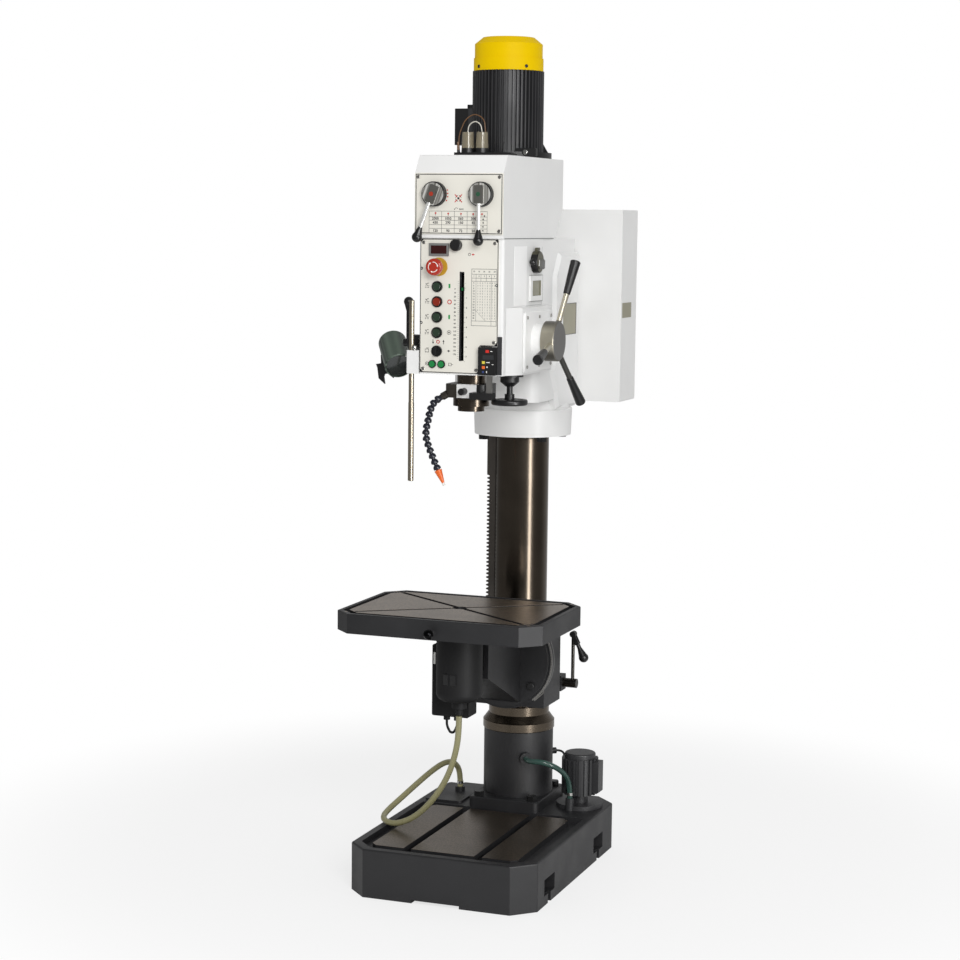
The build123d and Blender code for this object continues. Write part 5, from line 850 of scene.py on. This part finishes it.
# %% Lower panel scale and feed chart
CHART_LEFT = 35
CHART_RIGHT = 104.5
CHART_TOP = 1650
CHART_FOOT = 1529.5
for step in range(18):
    lower.figures(str(10 * step), -10.6, 1611 - 10 * step, 5.6)
for step in range(7):
    lower.figures(str(step + 1), 22.0, 1588.3 - 25.4 * step, 6.0)
lower.border(CHART_LEFT, CHART_RIGHT, 1517, 1664, line=0.9)
for height in (CHART_TOP, 1640, 1632, CHART_FOOT):
    lower.bar(CHART_LEFT, CHART_RIGHT, height - HAIR, height + HAIR)
for across, low in ((47.5, CHART_FOOT), (61, 1632), (76, 1632), (90, 1517)):
    lower.bar(across - 0.35, across + 0.35, low, CHART_TOP)
lower.shape([(43, 1560), (43.9, 1560), (75.5, CHART_FOOT), (74.6, CHART_FOOT)])
for column in range(5):
    lower.figures(str(5 * (column + 2)), 41.5 + 14.2 * column, 1657, 5.2)
    lower.figures(str(column + 1), 41.5 + 14.2 * column, 1645, 5.2)
for row in range(14):
    height = 1627.5 - 7.0 * row
    lower.figures(str(4 + 2 * row), 41.2, height, 5.2)
    for column in range(8):
        across = 52.5 + 6.7 * column
        # The chart is empty below its slanted line.
        if height > 1562 - (across - 43):
            lower.figures(str(1 + (3 * row + 5 * column) % 9), across, height, 4.6)
lower.piece("lower_printing", "machine", ink_black)

# %% Coloured signs
green_signs = Sheet(LOWER_FACE)
for height in (1618.3, 1538.0):
    green_signs.bar(-28.6, -23.6, height - 5.5, height + 5.5)
green_signs.piece("start_signs", "machine", ink_green)
red_signs = Sheet(LOWER_FACE)
red_signs.arc(-25.5, 1577, 4.0, 6.3, 0, 360, steps=20)
red_signs.arc(-56.7, 1472.6, 3.0, 5.0, 0, 360, steps=18)
red_signs.shape([(34.5, 1700.6), (39.5, 1697.2), (39.5, 1704)])
red_signs.bar(39.5, 42.5, 1699.6, 1701.6)
red_signs.piece("stop_signs", "machine", ink_red)
white_signs = Sheet(LOWER_FACE - 0.1)
for px, pz in EDGE_SCREWS:
    white_signs.dot(px, pz, radius=1.5, sides=10)
white_signs.piece("edge_screws", "machine", ink_white)

# %% Turning arrows on the stop mushroom
arrows = Sheet(-555.6)
middle = (1000 * STOP_X, 1000 * STOP_Z)
for start in (20, 140, 260):
    arrows.arc(*middle, 12.0, 13.8, start, start + 75)
    edge = math.radians(start)
    tip = math.radians(start - 24)
    arrows.polar(*middle, ((10.4, edge), (15.4, edge), (12.9, tip)))
arrows.piece("stop_arrows", "stop_push", ink_white)

# %% [markdown]
# ## Marks that repeat
# The depth scale and the tilt scale are rows of equal bars. A Mesh Line gives the places, one bar is set on
# each of them, and the instances are made real so that they can be exported. The ring does the same round a
# circle.

# %% Rows and rings from Geometry Nodes
BAR_INPUTS = {
    "Count": "Int", "Start": "Vector", "Step": "Vector", "Size": "Vector",
    "Radius": "Float", "First": "Float", "Turn": "Float", "Finish": "Material",
}


def bar_tree(name, ring):
    """Bars along a line, or round the Z axis of a circle."""
    tree = bpy.data.node_groups.new(name, "GeometryNodeTree")
    for label, kind in BAR_INPUTS.items():
        tree.interface.new_socket(name=label, in_out="INPUT", socket_type="NodeSocket" + kind)
    tree.interface.new_socket(name="Bars", in_out="OUTPUT", socket_type="NodeSocketGeometry")
    net = Net(tree)
    entry = tree.nodes.new("NodeGroupInput")
    given = {label: Wire(net, entry.outputs[label]) for label in BAR_INPUTS}
    setting = {"Instance": net.add("GeometryNodeMeshCube", None, {"Size": given["Size"]})}
    if ring:
        points = net.add("GeometryNodeMeshLine", None, {"Count": given["Count"]})
        angle = net.add("GeometryNodeInputIndex") * given["Turn"] + given["First"]
        across = angle.sum("COSINE", angle) * given["Radius"]
        over = angle.sum("SINE", angle) * given["Radius"]
        spot = net.add("ShaderNodeCombineXYZ", None, {0: across, 1: over})
        setting["Points"] = net.add("GeometryNodeSetPosition", None, {"Geometry": points, "Position": spot})
        setting["Rotation"] = net.add("ShaderNodeCombineXYZ", None, {2: angle})
    else:
        line = {"Count": given["Count"], "Start Location": given["Start"], "Offset": given["Step"]}
        setting["Points"] = net.add("GeometryNodeMeshLine", None, line)
    bars = net.add("GeometryNodeInstanceOnPoints", None, setting)
    real = net.add("GeometryNodeRealizeInstances", None, {0: bars})
    painted = net.add("GeometryNodeSetMaterial", None, {"Geometry": real, "Material": given["Finish"]})
    tree.links.new(painted.socket, tree.nodes.new("NodeGroupOutput").inputs[0])
    return tree


bar_row = bar_tree("bar_row", ring=False)
bar_ring = bar_tree("bar_ring", ring=True)


def grow(name, tree, body, material, slot, place=None, **values):
    """Runs a tree once, makes its result a plain mesh and settles it on a body."""
    seed = show(name + "_seed", bpy.data.meshes.new(name + "_seed"))
    modifier = seed.modifiers.new("bars", "NODES")
    modifier.node_group = tree
    values["Finish"] = material
    for item in tree.interface.items_tree:
        if item.in_out == "INPUT" and item.name in values:
            modifier[item.identifier] = values[item.name]
    mesh = as_mesh(seed)
    bpy.data.objects.remove(seed)
    mesh.name = name
    if place is not None:
        mesh.transform(place)
    settle(name, mesh, body, material)


# %% Depth and tilt scales
def depth_marks(name, count, across, first, step, width):
    """A ladder of level marks beside the depth slot, from the first height up."""
    grow(name, bar_row, "machine", ink_black, "cream_panel", Count=count, Start=(across, -0.5134, first),
         Step=(0.0, 0.0, step), Size=(width, 0.0003, 0.0005))


depth_marks("depth_marks_left", count=41, across=-0.0012, first=1.431, step=0.005, width=0.0034)
depth_marks("depth_marks_right", count=17, across=0.0176, first=1.4232, step=0.0127, width=0.0026)
upright = Matrix.Translation((0, -0.1311, TILT_Z)) @ Matrix.Rotation(math.pi / 2, 4, "X")
grow("tilt_marks", bar_ring, "lift_arm", ink_black, "charcoal", upright, Count=91, Radius=0.1405,
     First=math.radians(-135), Turn=math.radians(3), Size=(0.0035, 0.0005, 0.0003))

# %% [markdown]
# ## Small fittings
# The last details are what the eye rests on: coloured dots on the levers, keys on the read-out, blank plates,
# the lamp's glass, hose clips, a clasp on the catch pot, and screws. Round ones are turned from a profile, as
# on a lathe, and the others are boxes with softened edges. The neck's side carries a raised cheek, the head's
# side shows its seams, and a plain bar closes the top of the rack.

# %% Turned and boxed pieces
UPWARD = (0, 0, 1)
LEFT = (-1, 0, 0)
FORWARD = (0, -1, 0)
SHARP = math.radians(35)
SOFT_EDGE = 0.0008
CRISP_EDGE = 0.0002


def turned(name, profile, start, direction, body, material, steps=32):
    """A piece turned from (radius, height) pairs along a direction; the first and last radius may be 0."""
    bm = bmesh.new()
    turn = 2 * math.pi / steps
    angles = [turn * k for k in range(steps)]
    rings = []
    for radius, height in profile:
        if radius == 0:
            rings.append([bm.verts.new((0, 0, height))])
            continue
        rings.append([bm.verts.new((radius * math.cos(t), radius * math.sin(t), height)) for t in angles])
    for low, high in zip(rings, rings[1:]):
        for k in range(steps):
            n = (k + 1) % steps
            corners = [low[k % len(low)], low[n % len(low)], high[n % len(high)], high[k % len(high)]]
            bm.faces.new(list(dict.fromkeys(corners)))
    bmesh.ops.recalc_face_normals(bm, faces=bm.faces)
    mesh = bake(name, bm)
    aim = Vector(UPWARD).rotation_difference(Vector(direction)).to_matrix().to_4x4()
    mesh.transform(Matrix.Translation(start) @ aim)
    mesh.shade_smooth()
    mesh.set_sharp_from_angle(angle=SHARP)
    settle(name, mesh, body, material)


def plates(body, material, slot, *rows, edge=SOFT_EDGE):
    """Boxes of one kind with softened edges; each row is a name and two corners in millimetres."""
    for name, low, high in rows:
        bm = bmesh.new()
        bmesh.ops.create_cube(bm, size=1.0)
        size = [(b - a) / 1000 for a, b in zip(low, high)]
        middle = [(a + b) / 2000 for a, b in zip(low, high)]
        fit = Matrix.Translation(middle) @ Matrix.Diagonal((*size, 1.0))
        bmesh.ops.transform(bm, matrix=fit, verts=bm.verts)
        bmesh.ops.bevel(bm, geom=bm.edges[:], offset=min(edge, min(size) / 3), segments=2, affect="EDGES")
        settle(name, bake(name, bm), body, material)


DOT_PROFILE = ((0, 0), (0.0058, 0), (0.0053, 0.001), (0, 0.0012))
LEVER_DOTS = (
    ("lever_dot_left", -LEVER_X, "left_lever", ink("dot_red", tone(166, 44, 16))),
    ("lever_dot_right", LEVER_X, "right_lever", ink("dot_green", tone(34, 84, 58))),
)
for name, middle, body, dye in LEVER_DOTS:
    turned(name, DOT_PROFILE, (middle, -0.552, LEVER_Z), FORWARD, body, dye)

# %% Read-out screen and keys
BOX_FACE = -531.8
KEYS = (
    ("key_red", 82.9, 92.4, 1449.0, 1456.5, tone(206, 40, 30)),
    ("key_yellow", 73.4, 81.7, 1420.3, 1427.6, tone(216, 200, 70)),
    ("key_orange", 73.4, 81.9, 1407.4, 1414.9, tone(226, 104, 40)),
    ("key_blue", 73.6, 79.4, 1396.6, 1402.2, tone(50, 66, 120)),
)
KEY_SIGNS = (
    (96.4, 101.5, 1452.2, 1454.2), (84.6, 95, 1423.2, 1425.2), (86, 88.8, 1410.0, 1414.2),
    (85, 87.4, 1397.2, 1402), (100, 105, 1418.5, 1420),
)
glass_dark = done(coat("display_glass", tone(44, 46, 48), 0.12, Coat_Weight=0.5))
plates("machine", glass_dark, "black_plastic",
       ("readout_screen", (74.6, -532.6, 1431.5), (105.5, BOX_FACE, 1443.3)))
for name, left, right, low, high, colour in KEYS:
    cap = done(coat(name + "_cap", colour, 0.35, patch=0.04))
    key = (name, (left, -533.4, low), (right, BOX_FACE, high))
    plates("machine", cap, "black_plastic", key)
key_marks = Sheet(-532.2)
for bar in KEY_SIGNS:
    key_marks.bar(*bar)
key_marks.piece("key_marks", "machine", ink_white)

# %% Raised cheek on the neck
CHEEK = (
    (-62, 1703), (-105, 1640), (-105, 1398), (-126, 1380),
    (-84, 1316), (-70, 1268), (106, 1268), (106, 1703),
)
CHEEK_ROOT = 0.1
CHEEK_DEPTH = 0.018
CHEEK_BEVEL = 0.01
cheek_bm = bmesh.new()
outline = [cheek_bm.verts.new((CHEEK_ROOT, py / 1000, pz / 1000)) for py, pz in CHEEK]
root_face = cheek_bm.faces.new(outline)
cheek_bm.normal_update()
raised = bmesh.ops.extrude_face_region(cheek_bm, geom=[root_face])["geom"]
front_corners = [item for item in raised if isinstance(item, bmesh.types.BMVert)]
front_face = [item for item in raised if isinstance(item, bmesh.types.BMFace)]
bmesh.ops.translate(cheek_bm, verts=front_corners, vec=(CHEEK_DEPTH, 0, 0))
bmesh.ops.inset_region(
    cheek_bm, faces=front_face, thickness=CHEEK_BEVEL, depth=CHEEK_BEVEL, use_even_offset=True)
bmesh.ops.recalc_face_normals(cheek_bm, faces=cheek_bm.faces)
settle("neck_cheek", bake("neck_cheek", cheek_bm), "machine", white_coat)

# %% Blank plates, seams and a painted highlight
plate_metal = ink("plate_metal", tone(150, 146, 126))
side_seam = ink("side_seam", tone(196, 197, 196))
painted_side_highlight = ink("painted_side_highlight", tone(252, 252, 251))
seam_grey = ink("seam_grey", tone(108, 114, 110))
plates("machine", plate_metal, "steel",
       ("cabinet_plate", (249.9, 122, 1519), (250.8, 208, 1561)),
       ("neck_plate", (127.9, -38, 1474), (128.8, 76, 1561)))
plates("machine", ink_grey, "steel",
       ("neck_edge_top", (128.2, -38, 1559.4), (129.0, 76, 1561.4)),
       ("neck_edge_low", (128.2, -38, 1473.6), (129.0, 76, 1475.6)),
       ("neck_edge_rear", (128.2, 70, 1474), (129.0, 76.4, 1561)), edge=CRISP_EDGE)
# A near-white flat plate on the head's side is a painted highlight: it stands for the lit front face of a
# raised box that is not modelled.
plates("machine", painted_side_highlight, "white_paint",
       ("side_front_painted_highlight", (121.6, -430, 1567), (122.5, -332, 1722)), edge=CRISP_EDGE)
plates("machine", side_seam, "white_paint",
       ("side_seam_low", (121.6, -332, 1564), (122.5, -208, 1566)),
       ("side_seam_rear", (121.6, -211, 1566), (122.5, -208, 1720)), edge=CRISP_EDGE)
plates("machine", seam_grey, "white_paint",
       ("case_seam", (121.4, -508, 1740.9), (122.9, -115, 1743)), edge=CRISP_EDGE)

# %% Switch label, selector grip with a painted edge highlight, lug, clasps and rack top
plates("tilt_table", ink_white, "white_paint",
       ("switch_plate", (-92.5, -435.8, 601), (-86.3, -434.9, 633)))
plates("feed_select", ink_grey, "steel",
       ("selector_grip", (140.3, -285, 1661), (150, -262, 1687)), edge=0.002)
# A thin white strip on the grip's front edge is a painted highlight.
plates("feed_select", ink_white, "steel",
       ("selector_edge_highlight", (140.3, -287, 1669), (142.3, -285.2, 1686)))
plates("machine", cable_black, "black_plastic",
       ("flange_lug", (56, -246, 1960), (112, -226, 1982)), edge=0.002)
plates("tilt_table", cable_black, "black_plastic",
       ("pot_clasp_left", (-22.9, -544.2, 569), (-6.7, -538, 599)),
       ("pot_clasp_right", (-3.7, -544.2, 569), (15.3, -538, 599)), edge=0.0015)
plates("swing_rack", rack_steel, "steel",
       ("rack_top", (-100.4, -15.2, 1072), (-92.6, 15.2, 1190.5)), edge=0.0004)

# %% Lamp glass and hose clips
LENS_PROFILE = ((0, 0), (0.0332, 0), (0.0332, 0.001), (0.02, 0.0034), (0, 0.0042))
CLIP_PROFILE = ((0.0083, -0.004), (0.0093, -0.004), (0.0093, 0.004), (0.0083, 0.004), (0.0083, -0.004))
lamp_glass = done(coat("lamp_glass", tone(46, 50, 50), 0.08, Coat_Weight=0.6))
lamp_way = Vector((0.473, -0.724, -0.5015)).normalized()
lens_start = Vector((-0.2238, -0.400, 1.430)) + lamp_way * 0.0542
turned("lamp_lens", LENS_PROFILE, lens_start, lamp_way, "lamp_tilt", lamp_glass)
clip_steel = done(metal("clip_steel", tone(186, 186, 182), 0.24, (200, 200, 200)))
turned("clip_drain_low", CLIP_PROFILE, (-0.18, 0.005, 0.162), UPWARD, "machine", clip_steel)
turned("clip_supply_low", CLIP_PROFILE, (0.176, -0.056, 0.178), UPWARD, "machine", clip_steel)

# %% Knob, screws, bolts and gusset
KNOB_PROFILE = (
    (0, 0), (0.004, 0), (0.004, 0.003), (0.0062, 0.0055), (0.0065, 0.009), (0.005, 0.0125), (0, 0.0142),
)
COWL_SCREW = ((0, 0), (0.0048, 0), (0.0044, 0.002), (0, 0.0024))
COWL_R = 0.0943
COWL_ANGLES = (-127.4, -40.0, 52.0, 143.0)


def head(radius, shoulder, crown, height):
    """The profile of a screw head, which narrows from its shoulder to its crown."""
    return (0, 0), (radius, 0), (radius, shoulder), (crown, height), (0, height)


turned("guard_knob", KNOB_PROFILE, (-0.1245, -0.509, 1.448), UPWARD, "machine", clip_steel)
turned("guard_screw", head(0.005, 0.005, 0.0042, 0.006), (-0.147, -0.5, 1.434), LEFT,
       "machine", clip_steel)
turned("lug_bolt", head(0.0066, 0.005, 0.0052, 0.006), (0.084, -0.246, 1.971), FORWARD,
       "machine", clip_steel)
turned("yoke_bolt", head(0.0105, 0.008, 0.009, 0.0095), (0.0864, -0.1465, 0.499), FORWARD,
       "tilt_table", cable_black)
gusset = Sheet(-100)
gusset.shape([(66, 1970.7), (100, 1970.7), (70, 2019), (66, 2019)])
gusset.piece("motor_gusset", "machine", cable_black)
for step, angle in enumerate(COWL_ANGLES):
    outward = Vector((math.cos(math.radians(angle)), math.sin(math.radians(angle)), 0))
    turned("cowl_screw_%d" % (step + 1), COWL_SCREW, Vector((0, -0.155, 2.2)) + outward * COWL_R, outward,
           "machine", ink_black, steps=20)

# %% [markdown]
# ## Light, floor and camera
# The machine is shown on white. The world is white to the camera. Shiny faces see a dim room that is lighter
# behind the machine than in front of it, and the shading gets a plain grey, so that colours keep their
# written values. A broad lamp gives form, and a tall strip draws a bright line down the column. The floor
# fades to white away from the machine and keeps its shadow near it. The camera has the same eye, lens and
# slight roll as the picture that the machine was measured from.

# %% World
ROOM_FRONT = 0.22
ROOM_RISE = 0.3
PLAIN_GREY = 0.57
world = bpy.data.worlds.new("studio")
bpy.context.scene.world = world
world.use_nodes = True
sky = Net(world.node_tree)
camera_ray = sky.add("ShaderNodeLightPath", out="Is Camera Ray")
glossy_ray = sky.add("ShaderNodeLightPath", out="Is Glossy Ray")
clear_ray = sky.add("ShaderNodeLightPath", out="Is Transmission Ray")
away = sky.split(sky.add("ShaderNodeTexCoord", out="Generated"))[1]
room = ROOM_FRONT + away.ramp(low=0.35, high=0.95) * ROOM_RISE
mirror = glossy_ray.sum("MAXIMUM", glossy_ray, clear_ray)
level = camera_ray + (1 - camera_ray) * (mirror * room + (1 - mirror) * PLAIN_GREY)
backdrop = world.node_tree.nodes["Background"]
backdrop.inputs["Color"].default_value = (1, 1, 1, 1)
world.node_tree.links.new(level.socket, backdrop.inputs["Strength"])
print("the world lights the shading at", PLAIN_GREY)


# %% Lamps
def lamp(name, place, target, size, watts):
    light = bpy.data.lights.new(name, "AREA")
    light.shape = "RECTANGLE"
    light.size, light.size_y = size
    light.energy = watts
    obj = show(name, light)
    obj.location = place
    obj.rotation_euler = (Vector(target) - Vector(place)).to_track_quat("-Z", "Y").to_euler()
    print(name, watts, "W")
    return obj


lamp("key_lamp", (2.7, -4.75, 3.0), target=(0, -0.2, 1.2), size=(2.0, 2.0), watts=166)
strip = lamp("strip_lamp", (3.77, -2.64, 0.9), target=(0, 0, 0.9), size=(0.7, 3.2), watts=130)
strip.visible_diffuse = False

# %% Floor
FLOOR_R = 2.4
FLOOR_Z = -0.001
FLOOR_SIDES = 90
NEAR_GLOW = 0.72
angles = [math.radians(360 / FLOOR_SIDES * k) for k in range(FLOOR_SIDES)]
floor_points = [(FLOOR_R * math.cos(t), FLOOR_R * math.sin(t), FLOOR_Z) for t in angles]
floor_mesh = bpy.data.meshes.new("floor")
floor_mesh.from_pydata(floor_points, [], [tuple(range(FLOOR_SIDES))])
floor = show("floor", floor_mesh)
pale = Finish("pale_floor", (0.9, 0.9, 0.9), roughness=0.9)
x, y, z = pale.axes()
glow = pale.add("ShaderNodeEmission", None, {"Color": (1, 1, 1, 1), "Strength": 1.0})
fade = (x.squared() + y.squared()).ramp(low=0.8, high=3.6)
share = pale.add("ShaderNodeLightPath", out="Is Camera Ray") * (NEAR_GLOW + (1 - NEAR_GLOW) * fade)
pale.mix_in(share, glow)
floor_mesh.materials.append(pale.material)
print("floor radius", FLOOR_R)

# %% Camera
AZIMUTH = math.radians(20.5)
ELEVATION = math.radians(6.692)
ROLL = math.radians(0.647)
DISTANCE = 6.2678
ASIDE = -0.1193
TARGET_Z = 1.0568
level_share = math.cos(ELEVATION)
back = Vector((math.sin(AZIMUTH) * level_share, -math.cos(AZIMUTH) * level_share, math.sin(ELEVATION)))
target = Vector((ASIDE * math.cos(AZIMUTH), ASIDE * math.sin(AZIMUTH), TARGET_Z))
right = (-back).cross(Vector(UPWARD)).normalized()
up = right.cross(-back)
tilted_right = right * math.cos(ROLL) + up * math.sin(ROLL)
tilted_up = up * math.cos(ROLL) - right * math.sin(ROLL)
eye = target + back * DISTANCE
camera = show("camera", bpy.data.cameras.new("camera"))
camera.data.sensor_width = 36.0
camera.data.lens = 82.823
turn = Matrix((tilted_right, tilted_up, back)).transposed().to_4x4()
camera.matrix_world = Matrix.Translation(eye) @ turn
bpy.context.scene.camera = camera
bpy.context.scene.view_settings.view_transform = "Standard"
print("eye", [round(v, 3) for v in eye])
